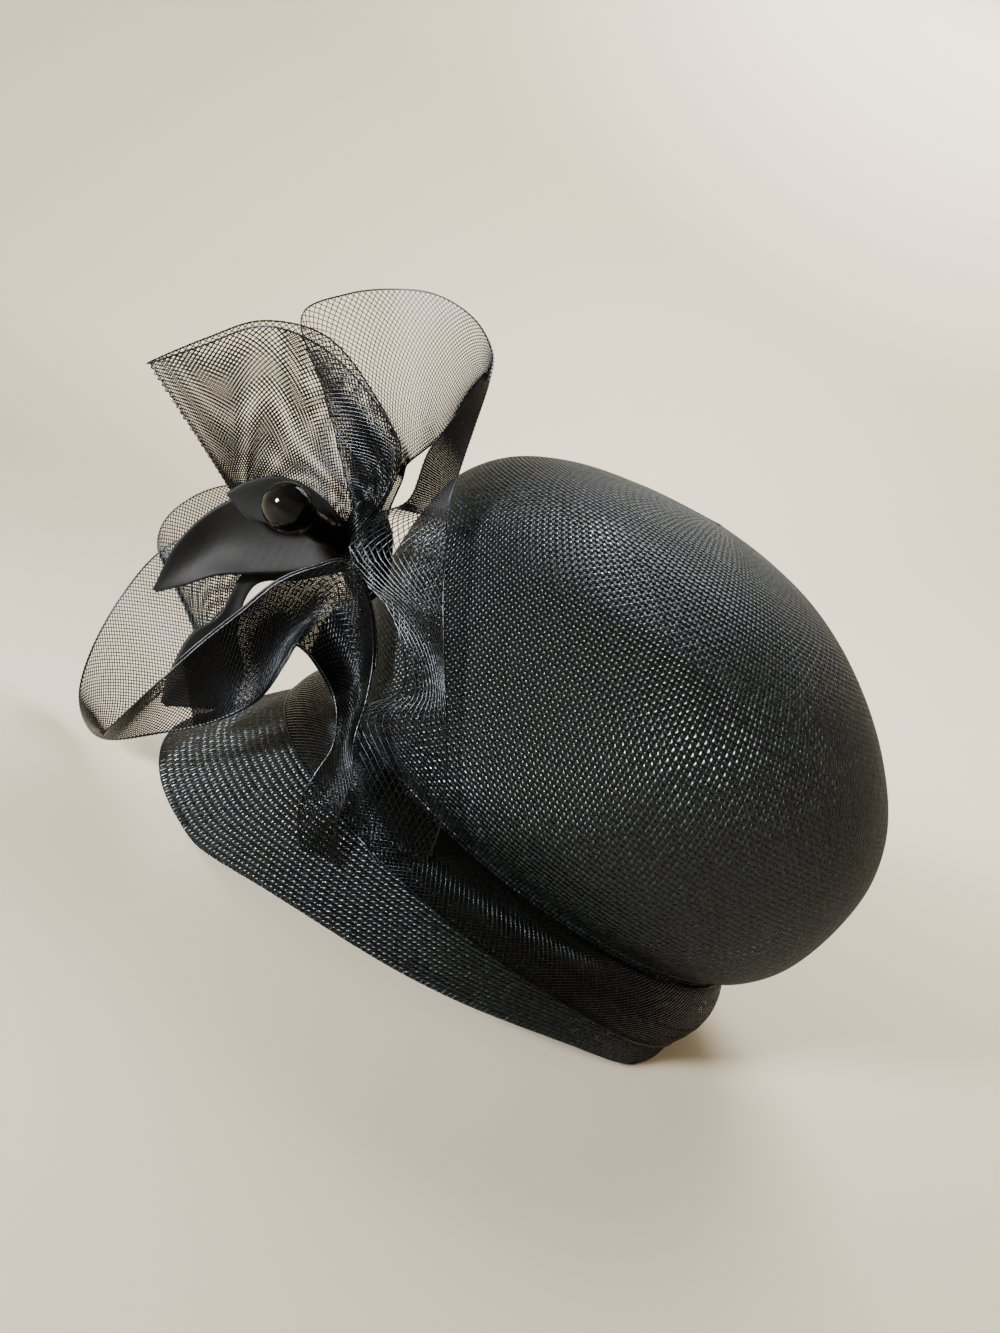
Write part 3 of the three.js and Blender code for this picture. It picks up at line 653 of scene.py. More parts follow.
@dataclass
class StrawBody:
    """A round body of woven straw: an outer face in rows of strands, and a plain inner face."""

    name: str
    surfaces: tuple
    wall: float
    node: str
    closed_top: bool
    pitch: float = 1.9
    around: int = 360
    inner_rows: int = 18
    zone: float = 1.35
    relief: Relief = Relief()

    def stations(self, surface: Surface, rows: int | None) -> np.ndarray:
        """Places up a surface at even steps of its mean length, one for each row of strands.

        Args:
            surface: gives points at a turn and a height.
            rows: how many steps, or None for one a strand.

        Returns:
            The places, from 0 to 1.
        """
        t = np.linspace(0, 1, 400)
        turn = np.linspace(0, 1, 24, endpoint=False)
        points = surface(*np.broadcast_arrays(turn[None, :], t[:, None]))
        length = np.linalg.norm(np.diff(points, axis=0), axis=-1).mean(axis=1)
        run = np.concatenate([[0], np.cumsum(length)])
        count = rows or round(run[-1] / self.pitch)
        return np.interp(np.linspace(0, run[-1], count + 1), run, t)

    def rings(self, surface: Surface, rows: int | None) -> tuple[np.ndarray, np.ndarray]:
        """Points of a surface in rings, and the normals there.

        Args:
            surface: gives points at a turn and a height.
            rows: how many spans up, or None for one a strand.

        Returns:
            Points and outward normals, rings by places round.
        """
        t = self.stations(surface, rows)[:, None]
        turn = (np.arange(self.around) / self.around)[None, :]
        turn, t = np.broadcast_arrays(turn, t)
        points = surface(turn, t)
        normals = grid_normals(points.transpose(1, 0, 2), True).transpose(1, 0, 2)
        if self.closed_top:
            normals[-1] = (0, 0, 1)
        return points + normals * self.relief.at(turn, t)[..., None], normals

    def build(self) -> bpy.types.Object:
        """The body: outer rings, a rounded edge, inner rings, all one closed skin."""
        outer = [self.rings(surface, None) for surface in self.surfaces]
        inner = [self.rings(surface, self.inner_rows) for surface in self.surfaces]
        faces = np.vstack([outer[0][0], *(points[1:] for points, _ in outer[1:])])
        backs = np.vstack([inner[0][0], *(points[1:] for points, _ in inner[1:])])
        normals = np.vstack([inner[0][1], *(n[1:] for _, n in inner[1:])])
        backs = backs - normals * self.wall
        edge = self.edge(faces, backs)
        if self.closed_top:
            stack = np.concatenate([backs[::-1], edge, faces])
        else:
            stack = np.concatenate([backs[::-1], edge, faces, backs[-1:]])
        stack[..., 2] = np.maximum(stack[..., 2], 0)
        mesh = Mesh()
        quads = grid_faces(len(stack), self.around, True)
        mesh.add(stack, quads, self.weave(stack))
        return mesh.object(self.name, merge=True)

    def edge(self, faces: np.ndarray, backs: np.ndarray) -> np.ndarray:
        """Rings round the lower edge, on a half circle as thick as the wall.

        Args:
            faces: the outer rings.
            backs: the inner rings.

        Returns:
            Four rings from the inner face to the outer.
        """
        middle = (faces[0] + backs[0]) / 2
        out = (faces[0] - backs[0]) / 2
        down = unit(faces[0] - faces[1]) * self.wall / 2
        turns = np.radians([-60, -25, 15, 55])[:, None, None]
        return middle + out * np.sin(turns) + down * np.cos(turns)

    def weave(self, stack: np.ndarray) -> np.ndarray:
        """Strand counts at each corner of each quad: along a row, and up the rows.

        A row holds a whole, even number of strands. That number is the same for many rows, and
        drops where the strands would crowd to less than the zone's share of their pitch.

        Args:
            stack: all the body's rings.

        Returns:
            Two coordinates for each of a quad's four corners.
        """
        rows = len(stack) - 1
        ring = np.linalg.norm(np.roll(stack, -1, axis=1) - stack, axis=-1).sum(axis=1)
        around = (ring[:-1] + ring[1:]) / 2
        most = around.max()
        level = np.floor(np.log(most / np.maximum(around, 1)) / math.log(self.zone))
        count = 2 * np.round(most / self.zone**level / (2 * self.pitch))
        column = np.arange(self.around)
        left, right = column / self.around, (column + 1) / self.around
        row = np.arange(rows)[:, None] + np.zeros(self.around)
        u0, u1 = left * count[:, None], right * count[:, None]
        corners = [(u0, row), (u1, row), (u1, row + 1), (u0, row + 1)]
        return np.stack([np.stack(c, axis=-1) for c in corners], axis=2)


@dataclass
class Mould:
    """What cloth lies on: points of the hat's outer faces and their normals."""

    points: np.ndarray
    normals: np.ndarray

    @classmethod
    def of_hat(cls) -> "Mould":
        """The crown, the bell and the band, on grids fine enough to lay cloth on."""
        points, normals = [], []
        for surface, up in ((HAT.crown, 60), (HAT.bell, 24), (HAT.band, 10)):
            turn, t = np.meshgrid(np.arange(150) / 150, np.linspace(0.01, 0.99, up), indexing="ij")
            grid = surface(turn, t)
            points.append(grid.reshape(-1, 3))
            normals.append(grid_normals(grid, True).reshape(-1, 3))
        return cls(np.vstack(points), np.vstack(normals))

    def depth(self, cloth: np.ndarray) -> tuple[np.ndarray, np.ndarray]:
        """How far each point is outside the nearest face, and that face's normal.

        Args:
            cloth: points in millimetres.

        Returns:
            The distances and the normals.
        """
        flat = cloth.reshape(-1, 3)
        square = (self.points**2).sum(axis=1)
        parts = np.array_split(flat, 12)
        nearest = np.concatenate([(square - 2 * part @ self.points.T).argmin(axis=1) for part in parts])
        out = self.normals[nearest]
        far = ((flat - self.points[nearest]) * out).sum(axis=1)
        return far.reshape(cloth.shape[:-1]), out.reshape(cloth.shape)

    def lift(self, cloth: np.ndarray, clear: float) -> np.ndarray:
        """Cloth moved out of the hat: each point goes out by its depth, and the moves are smoothed.

        Args:
            cloth: a grid of the cloth's points.
            clear: how far off the hat it lies at least.

        Returns:
            The moved grid.
        """
        far, out = self.depth(cloth)
        move = np.maximum(clear - far, 0)[..., None] * out
        for _ in range(6):
            wide = np.pad(move, ((1, 1), (1, 1), (0, 0)), mode="edge")
            soft = (wide[:-2, 1:-1] + wide[2:, 1:-1] + wide[1:-1, :-2] + wide[1:-1, 2:]) / 4
            further = np.linalg.norm(soft, axis=-1) > np.linalg.norm(move, axis=-1)
            move = np.where(further[..., None], soft, move)
        moved = cloth + move
        far, out = self.depth(moved)
        return moved + np.maximum(clear - far, 0)[..., None] * out


@dataclass
class NetLayer:
    """One layer of sheer crin: its surface, and how far the net is drawn out along each row.

    A net drawn out lengthwise has its threads closer to its length than at half a right angle.
    A fine of less than one draws the threads closer together, and a shift moves them on by a share
    of their spacing, so that the holes of two layers don't lie behind each other. Plies are how
    many layers of ribbon, pressed together, it stands for.
    """

    grid: np.ndarray
    joined: bool = False
    pull: np.ndarray | float = 1.0
    fine: float = 1.0
    shift: float = 0.0
    plies: int = 1

    def __post_init__(self) -> None:
        """Works out the normals, the length up to each row, and the flat size.

        A net drawn out keeps the length of its threads: it grows longer and narrower.
        """
        self.normals = grid_normals(self.grid, self.joined)
        middle = self.grid[:, self.grid.shape[1] // 2]
        if self.joined:
            middle = np.vstack([middle, middle[:1]])
        step = np.linalg.norm(np.diff(middle, axis=0), axis=1)
        drawn = np.broadcast_to(self.pull, len(middle))
        drawn = (drawn[1:] + drawn[:-1]) / 2
        self.run = np.concatenate([[0], np.cumsum(step / drawn)])
        spread = np.sqrt((1 + drawn**2) / 2)
        self.flat_length = float((step * spread / drawn).sum())
        self.flat_width = self.width * float(spread.mean())

    @property
    def length(self) -> float:
        """The layer's length, less what it is drawn out by."""
        return float(self.run[-1])

    @property
    def width(self) -> float:
        """The layer's mean width as it lies, which its folds make less than the ribbon's."""
        return float(np.linalg.norm(np.diff(self.grid, axis=1), axis=-1).sum(axis=1).mean())

    def shares(self, run: np.ndarray) -> np.ndarray:
        """Shares of the layer's rows at flat lengths along it."""
        turns = np.floor(run / self.length) if self.joined else 0
        return np.interp(run - turns * self.length, self.run, np.linspace(0, 1, len(self.run))) + turns

    def at(self, values: np.ndarray, u: np.ndarray, v: np.ndarray) -> np.ndarray:
        """Values between a grid's points, by shares of the four round each place.

        Args:
            values: the grid's values.
            u: places along the layer from 0 to 1.
            v: places across it from 0 to 1.

        Returns:
            The values there.
        """
        rows, columns = values.shape[:2]
        spans = rows if self.joined else rows - 1
        x = (u % 1 if self.joined else np.clip(u, 0, 1)) * spans
        y = np.clip(v, 0, 1) * (columns - 1)
        i = np.minimum(x.astype(int), spans - 1)
        j = np.minimum(y.astype(int), columns - 2)
        fx, fy = (x - i)[..., None], (y - j)[..., None]
        k = (i + 1) % rows
        near = values[i, j] * (1 - fy) + values[i, j + 1] * fy
        far = values[k, j] * (1 - fy) + values[k, j + 1] * fy
        return near * (1 - fx) + far * fx


@dataclass(frozen=True)
class Thread:
    """Sizes of the net's threads and of its firm selvedge, in millimetres."""

    spacing: float = 1.3
    thick: float = 0.46
    step: float = 3.0
    sides: int = 3
    selvedge: float = 0.7


def tubes(path: np.ndarray, normals: np.ndarray, half: tuple, sides: int, mesh: Mesh, ring: bool) -> None:
    """Tubes along paths: each ring stands on the normal and the side, scaled by the half sizes.

    Args:
        path: paths by points.
        normals: the cloth's normals there.
        half: half the tube's thickness and half its width.
        sides: sides of a tube.
        mesh: takes the tubes.
        ring: whether each path ends where it starts.
    """
    ahead = np.roll(path, -1, axis=1) - np.roll(path, 1, axis=1) if ring else np.gradient(path, axis=1)
    side = unit(np.cross(unit(ahead), normals))
    turns = 2 * np.pi * (np.arange(sides) + 0.5) / sides
    out = normals[:, :, None] * (half[0] * np.cos(turns))[:, None]
    rings = path[:, :, None] + out + side[:, :, None] * (half[1] * np.sin(turns))[:, None]
    count, long = path.shape[:2]
    one = grid_faces(long + 1 if ring else long, sides, True) % (long * sides)
    every = (one[None] + (np.arange(count) * long * sides)[:, None, None]).reshape(-1, 4)
    mesh.add(rings, every)
    if not ring:
        first = np.arange(count)[:, None] * sides
        mesh.add(rings[:, 0], np.arange(sides)[::-1] + first)
        mesh.add(rings[:, -1], np.arange(sides) + first)


def family(layer: NetLayer, lean: int, thread: Thread, mesh: Mesh) -> None:
    """One family of threads, which run over the flat ribbon at half a right angle.

    A thread that starts at a length on one selvedge is at that length plus or minus the way it
    has crossed. The two families lie a thread apart.

    Args:
        layer: the layer of net.
        lean: 1 for threads that run forwards as they cross, -1 for the others.
        thread: the thread's sizes.
        mesh: takes the threads.
    """
    long, width = layer.length, layer.width
    apart = thread.spacing * layer.fine * math.sqrt(2)
    if layer.joined:
        count = round(long / apart)
        start = (np.arange(count) + layer.shift) * long / count
        low, high = np.zeros(count), np.full(count, width)
    else:
        count = int((long + width) / apart)
        start = (np.arange(count) + 0.5 + layer.shift) * apart - (width if lean > 0 else 0)
        ends = np.sort(np.stack([-start * lean, (long - start) * lean]), axis=0)
        low, high = np.clip(ends[0], 0, width), np.clip(ends[1], 0, width)
        keep = high - low > thread.spacing / 2
        start, low, high = start[keep], low[keep], high[keep]
    points = max(3, math.ceil(width * math.sqrt(2) / thread.step) + 1)
    crossed = low[:, None] + (high - low)[:, None] * np.linspace(0, 1, points)
    u, v = layer.shares(start[:, None] + lean * crossed), crossed / width
    normals = unit(layer.at(layer.normals, u, v))
    path = layer.at(layer.grid, u, v) + normals * (lean * thread.thick / 2)
    tubes(path, normals, (thread.thick / 2, thread.thick / 2), thread.sides, mesh, False)


@dataclass
class CrinNet:
    """A piece of crin ribbon: one or more layers of net, each with a firm selvedge on both sides."""

    name: str
    layers: list
    nodes: tuple
    held: Held
    rests_on: tuple
    thread: Thread = Thread()

    def fill(self, mesh: Mesh) -> None:
        """Adds the threads and the selvedges of every layer.

        Args:
            mesh: takes them.
        """
        half = self.thread.selvedge / 2
        for layer in self.layers:
            for lean in (1, -1):
                family(layer, lean, self.thread, mesh)
            for column, inward in ((0, 1), (-1, -2)):
                edge, beside = layer.grid[:, column], layer.grid[:, inward]
                path = edge + unit(beside - edge) * half
                tubes(path[None], layer.normals[:, column][None], (half, half), 4, mesh, layer.joined)

    def build(self) -> bpy.types.Object:
        """The net as one piece."""
        mesh = Mesh()
        self.fill(mesh)
        piece = mesh.object(self.name)
        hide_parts(*self.nodes)
        return piece


@dataclass
class Gather:
    """Pleats where a ribbon is drawn into the knot: waves across it that die away along it."""

    depth: float = 1.5
    waves: float = 4.5
    reach: float = 26

    def apply(self, grid: np.ndarray, both_ends: bool) -> np.ndarray:
        """The grid with its pleats.

        Args:
            grid: a ribbon's points, along by across.
            both_ends: whether the far end is drawn in as well.

        Returns:
            The pleated grid.
        """
        middle = grid[:, grid.shape[1] // 2]
        run = np.concatenate([[0], np.cumsum(np.linalg.norm(np.diff(middle, axis=0), axis=1))])
        share = np.exp(-((run / self.reach) ** 2)) * np.minimum(run / 4, 1)
        if both_ends:
            back = run[-1] - run
            share = share + np.exp(-((back / self.reach) ** 2)) * np.minimum(back / 4, 1)
        across = np.sin(2 * np.pi * self.waves * np.linspace(0, 1, grid.shape[1]))
        return grid + grid_normals(grid, False) * (self.depth * share[:, None] * across)[..., None]


@dataclass
class Petal:
    """A satin petal: a curved leaf, thick in the middle and thin at its edges."""

    name: str
    rows: np.ndarray
    node: str
    along: int = 72
    across: int = 28

    def build(self, mould: Mould) -> bpy.types.Object:
        """The leaf as one closed skin: a face and a back that meet at the edges.

        The half thickness is that of the wall times the root of one less the fourth power of the
        way from the middle line, where the edge counts as one.

        Args:
            mould: what the petal is kept off.

        Returns:
            The piece.
        """
        grid = mould.lift(BOW.strip(self.rows, BOW.petal_size, self.along, self.across), BOW.gap)
        normals = grid_normals(grid, False)
        v = np.linspace(-1, 1, self.across + 1)
        half = BOW.petal_wall / 2 * np.sqrt(1 - v**4)[None, :, None]
        ring = np.concatenate([grid + normals * half, (grid - normals * half)[:, -2:0:-1]], axis=1)
        mesh = Mesh()
        mesh.add(ring, grid_faces(ring.shape[0], ring.shape[1], True))
        count = ring.shape[1]
        for end in (ring[0], ring[-1]):
            middle = end.mean(axis=0)
            index = np.arange(count)
            fan = np.stack([index, (index + 1) % count, np.full(count, count)], axis=1)
            mesh.add(np.vstack([end, middle]), fan)
        piece = mesh.object(self.name, merge=True)
        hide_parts(self.node)
        return piece


@dataclass
class Turned:
    """A body turned about the way from the knot to the bead."""

    name: str
    node: str
    profile: np.ndarray
    around: int = 64

    def build(self, wrinkle: Wrinkle | None = None) -> bpy.types.Object:
        """The body: at each height of the profile a circle of its radius, with wrinkles added.

        Args:
            wrinkle: gives what is added to the radius at a height and a turn.

        Returns:
            The piece.
        """
        axis = unit(BOW.bead_reach)
        side = unit(np.cross(axis, (0, 0, 1)))
        up = np.cross(side, axis)
        height, radius = self.profile[:, 0][:, None], self.profile[:, 1][:, None]
        turn = np.arange(self.around)[None, :] / self.around
        if wrinkle is not None:
            radius = radius + wrinkle(height, turn) * (radius > 0)
        angle = 2 * np.pi * turn
        points = (
            BOW.knot
            + axis * (height + 0 * turn)[..., None]
            + side * (radius * np.cos(angle))[..., None]
            + up * (radius * np.sin(angle))[..., None]
        )
        mesh = Mesh()
        mesh.add(points, grid_faces(len(points), self.around, True))
        piece = mesh.object(self.name, merge=True)
        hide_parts(self.node)
        return piece


def add_node(tree: bpy.types.NodeTree, kind: str, inputs: dict | None = None, **settings) -> bpy.types.Node:
    """Adds a shader node, sets it up and links it.

    Args:
        tree: the material's node tree.
        kind: the node's type.
        inputs: for each socket's name or number, a value or the output that goes into it.
        settings: values of the node's own properties.

    Returns:
        The node.
    """
    node = tree.nodes.new(kind)
    for name, value in settings.items():
        setattr(node, name, value)
    for socket, value in (inputs or {}).items():
        if isinstance(value, bpy.types.NodeSocket):
            tree.links.new(value, node.inputs[socket])
        else:
            node.inputs[socket].default_value = value
    return node


def new_material(name: str) -> tuple[bpy.types.Material, bpy.types.NodeTree]:
    """An empty material with a node tree.

    Args:
        name: the finish's name.

    Returns:
        The material and its tree.
    """
    material = bpy.data.materials.new(name)
    material.use_nodes = True
    material.node_tree.nodes.clear()
    return material, material.node_tree


def surface_out(tree: bpy.types.NodeTree, shader: bpy.types.Node) -> None:
    """Ends a material in its shader."""
    add_node(tree, "ShaderNodeOutputMaterial", {"Surface": shader.outputs[0]})


@dataclass(frozen=True)
class WovenStraw:
    """Parasisal straw, plain woven, dyed black and varnished: each strand is a small glossy pillow."""

    deep: str = "#040505"
    pale: str = "#0B0D0D"
    # painted shade: the colour that the hollows between strands are darkened towards
    hollow_shade: str = "#020303"
    varnish: str = "#2A2E31"
    roughness: float = 0.24
    relief: float = 0.65 * MM
    sharp: float = 0.45
    soft: float = 1.1
    body_roughness: float = 0.6
    body_ior: float = 1.12

    def material(self) -> bpy.types.Material:
        """Strands by the weave's own coordinates: over and under by turns, as on a chessboard."""
        # To the eye: black, with rows of bright dashes where strands arch into the light, and no
        # shine at the edges, because there the strands shade each other.
        material, tree = new_material("varnished parasisal straw")
        weave = add_node(tree, "ShaderNodeUVMap", uv_map="weave")
        axes = add_node(tree, "ShaderNodeSeparateXYZ", {0: weave.outputs[0]})
        arches, cells = [], []
        for axis in (0, 1):
            share = add_node(tree, "ShaderNodeMath", {0: axes.outputs[axis]}, operation="FRACT")
            cell = add_node(tree, "ShaderNodeMath", {0: axes.outputs[axis]}, operation="FLOOR")
            rest = add_node(tree, "ShaderNodeMath", {0: 1.0, 1: share.outputs[0]}, operation="SUBTRACT")
            both = {0: share.outputs[0], 1: rest.outputs[0]}
            hump = add_node(tree, "ShaderNodeMath", both, operation="MULTIPLY")
            full = add_node(tree, "ShaderNodeMath", {0: hump.outputs[0], 1: 4.0}, operation="MULTIPLY")
            arches.append(full.outputs[0])
            cells.append(cell.outputs[0])
        steps = add_node(tree, "ShaderNodeMath", {0: cells[0], 1: cells[1]}, operation="ADD")
        odd = add_node(tree, "ShaderNodeMath", {0: steps.outputs[0], 1: 2.0}, operation="FLOORED_MODULO")
        curves = []
        for arch, low, high in ((arches[0], self.sharp, self.soft), (arches[1], self.soft, self.sharp)):
            ends = {"Value": odd.outputs[0], "To Min": low, "To Max": high}
            power = add_node(tree, "ShaderNodeMapRange", ends)
            curve = add_node(tree, "ShaderNodeMath", {0: arch, 1: power.outputs[0]}, operation="POWER")
            curves.append(curve.outputs[0])
        pillow = add_node(tree, "ShaderNodeMath", {0: curves[0], 1: curves[1]}, operation="MULTIPLY")
        place = add_node(tree, "ShaderNodeCombineXYZ", {0: cells[0], 1: cells[1]})
        vector = {"Vector": place.outputs[0]}
        chance = add_node(tree, "ShaderNodeTexWhiteNoise", vector, noise_dimensions="2D").outputs[0]
        tilt = add_node(tree, "ShaderNodeMapRange", {"Value": chance, "To Min": 0.72, "To Max": 1.0})
        level = {0: pillow.outputs[0], 1: tilt.outputs[0]}
        height = add_node(tree, "ShaderNodeMath", level, operation="MULTIPLY")
        rise = {"Height": height.outputs[0], "Distance": self.relief, "Strength": 1.0}
        bump = add_node(tree, "ShaderNodeBump", rise)
        tones = {0: chance, 6: linear(self.deep), 7: linear(self.pale)}
        tone = add_node(tree, "ShaderNodeMix", tones, data_type="RGBA")
        # Painted shade: where the strands dip between crossings, the colour is darkened towards the hollow
        # shade colour.
        depth = {"Value": pillow.outputs[0], "From Max": 0.6, "To Min": 0.25}
        hollow_shading = add_node(tree, "ShaderNodeMapRange", depth)
        shades = {0: hollow_shading.outputs[0], 6: linear(self.hollow_shade), 7: tone.outputs[2]}
        shade = add_node(tree, "ShaderNodeMix", shades, data_type="RGBA")
        gloss = {"Value": chance, "To Min": self.roughness - 0.08, "To Max": self.roughness + 0.1}
        wear = add_node(tree, "ShaderNodeMapRange", gloss)
        body = add_node(
            tree,
            "ShaderNodeBsdfPrincipled",
            {
                "Base Color": shade.outputs[2],
                "Roughness": self.body_roughness,
                "IOR": self.body_ior,
                "Normal": bump.outputs[0],
            },
        )
        varnish = add_node(
            tree,
            "ShaderNodeBsdfAnisotropic",
            {"Color": linear(self.varnish), "Roughness": wear.outputs[0], "Normal": bump.outputs[0]},
        )
        coated = add_node(tree, "ShaderNodeAddShader", {0: body.outputs[0], 1: varnish.outputs[0]})
        surface_out(tree, coated)
        return material


@dataclass(frozen=True)
class NylonThread:
    """Black nylon monofilament, drawn: smooth round threads that glint along their length."""

    colour: str = "#040404"
    # painted light colour: a cool tint on the reflections, in place of a cool light on the hat
    cool_light_tint: str = "#DCE8F5"
    roughness: float = 0.22
    grain: float = 0.9 * MM
    ior: float = 1.38

    def material(self) -> bpy.types.Material:
        """A dark gloss, a little uneven along the threads."""
        # To the eye: a black haze against the light, with bright dashes where threads face it.
        material, tree = new_material("black nylon crin thread")
        place = add_node(tree, "ShaderNodeTexCoord")
        grain = {"Vector": place.outputs["Object"], "Scale": 1 / self.grain, "Detail": 2.0}
        speck = add_node(tree, "ShaderNodeTexNoise", grain)
        gloss = add_node(
            tree,
            "ShaderNodeMapRange",
            {"Value": speck.outputs[0], "To Min": self.roughness - 0.1, "To Max": self.roughness + 0.12},
        )
        shader = add_node(
            tree,
            "ShaderNodeBsdfPrincipled",
            {
                "Base Color": linear(self.colour),
                "Roughness": gloss.outputs[0],
                "IOR": self.ior,
                # The reflections are tinted cool: painted light colour, standing in for a cool light on the
                # hat.
                "Specular Tint": linear(self.cool_light_tint),
            },
        )
        surface_out(tree, shader)
        return material


@dataclass(frozen=True)
class BlackSatin:
    """Matte satin cloth: a close weave with a soft sheen, and fine threads that barely show."""

    name: str = "matte black satin"
    colour: str = "#090A0B"
    roughness: float = 0.58
    pitch: float = 0.5 * MM
    relief: float = 0.04 * MM
    ior: float = 1.22
    sheen: float = 0.04
    sheen_roughness: float = 0.4

    def material(self) -> bpy.types.Material:
        """Cloth threads drawn twice as coarse as they are, so that they show at all."""
        # To the eye: a soft dark cloth, with broad pale gradients and no sharp reflection.
        material, tree = new_material(self.name)
        place = add_node(tree, "ShaderNodeTexCoord")
        waves = [
            add_node(
                tree,
                "ShaderNodeTexWave",
                {"Vector": place.outputs["Object"], "Scale": 0.05 / self.pitch, "Distortion": 1.5},
                bands_direction=direction,
            )
            for direction in ("Y", "Z")  # across the cloth's run and along it
        ]
        crossed = {0: waves[0].outputs[1], 1: waves[1].outputs[1]}
        cloth = add_node(tree, "ShaderNodeMath", crossed, operation="MULTIPLY")
        rise = {"Height": cloth.outputs[0], "Distance": self.relief, "Strength": 0.6}
        bump = add_node(tree, "ShaderNodeBump", rise)
        patches = {"Vector": place.outputs["Object"], "Scale": 60.0, "Detail": 3.0}
        blotch = add_node(tree, "ShaderNodeTexNoise", patches)
        gloss = add_node(
            tree,
            "ShaderNodeMapRange",
            {"Value": blotch.outputs[0], "To Min": self.roughness - 0.06, "To Max": self.roughness + 0.08},
        )
        shader = add_node(
            tree,
            "ShaderNodeBsdfPrincipled",
            {
                "Base Color": linear(self.colour),
                "Roughness": gloss.outputs[0],
                "Sheen Weight": self.sheen,
                "Sheen Roughness": self.sheen_roughness,
                "IOR": self.ior,
                "Normal": bump.outputs[0],
            },
        )
        surface_out(tree, shader)
        return material


@dataclass(frozen=True)
class PolishedBead:
    """A blown glass bead, black all through: sharp reflections, with the faintest waver."""

    colour: str = "#050505"
    roughness: float = 0.05
    waver: float = 9 * MM
    relief: float = 0.1 * MM
    ior: float = 1.3

    def material(self) -> bpy.types.Material:
        """Clear gloss over black."""
        # To the eye: a black mirror, with a dim picture of the room and one small bright spot.
        material, tree = new_material("polished black glass")
        place = add_node(tree, "ShaderNodeTexCoord")
        slow = {"Vector": place.outputs["Object"], "Scale": 1 / self.waver, "Detail": 0.0}
        swell = add_node(tree, "ShaderNodeTexNoise", slow)
        rise = {"Height": swell.outputs[0], "Distance": self.relief, "Strength": 0.5}
        bump = add_node(tree, "ShaderNodeBump", rise)
        shader = add_node(
            tree,
            "ShaderNodeBsdfPrincipled",
            {
                "Base Color": linear(self.colour),
                "Roughness": self.roughness,
                "IOR": self.ior,
                "Normal": bump.outputs[0],
            },
        )
        surface_out(tree, shader)
        return material


@dataclass(frozen=True)
class PaintedFloor:
    """A matt painted studio surface, pale and warm."""

    colour: str = "#DFD4BD"
    roughness: float = 0.9

    def material(self) -> bpy.types.Material:
        """Matt paint: one even, warm, pale colour."""
        material, tree = new_material("pale matt paint")
        paint = {"Base Color": linear(self.colour), "Roughness": self.roughness}
        shader = add_node(tree, "ShaderNodeBsdfPrincipled", paint)
        surface_out(tree, shader)
        return material


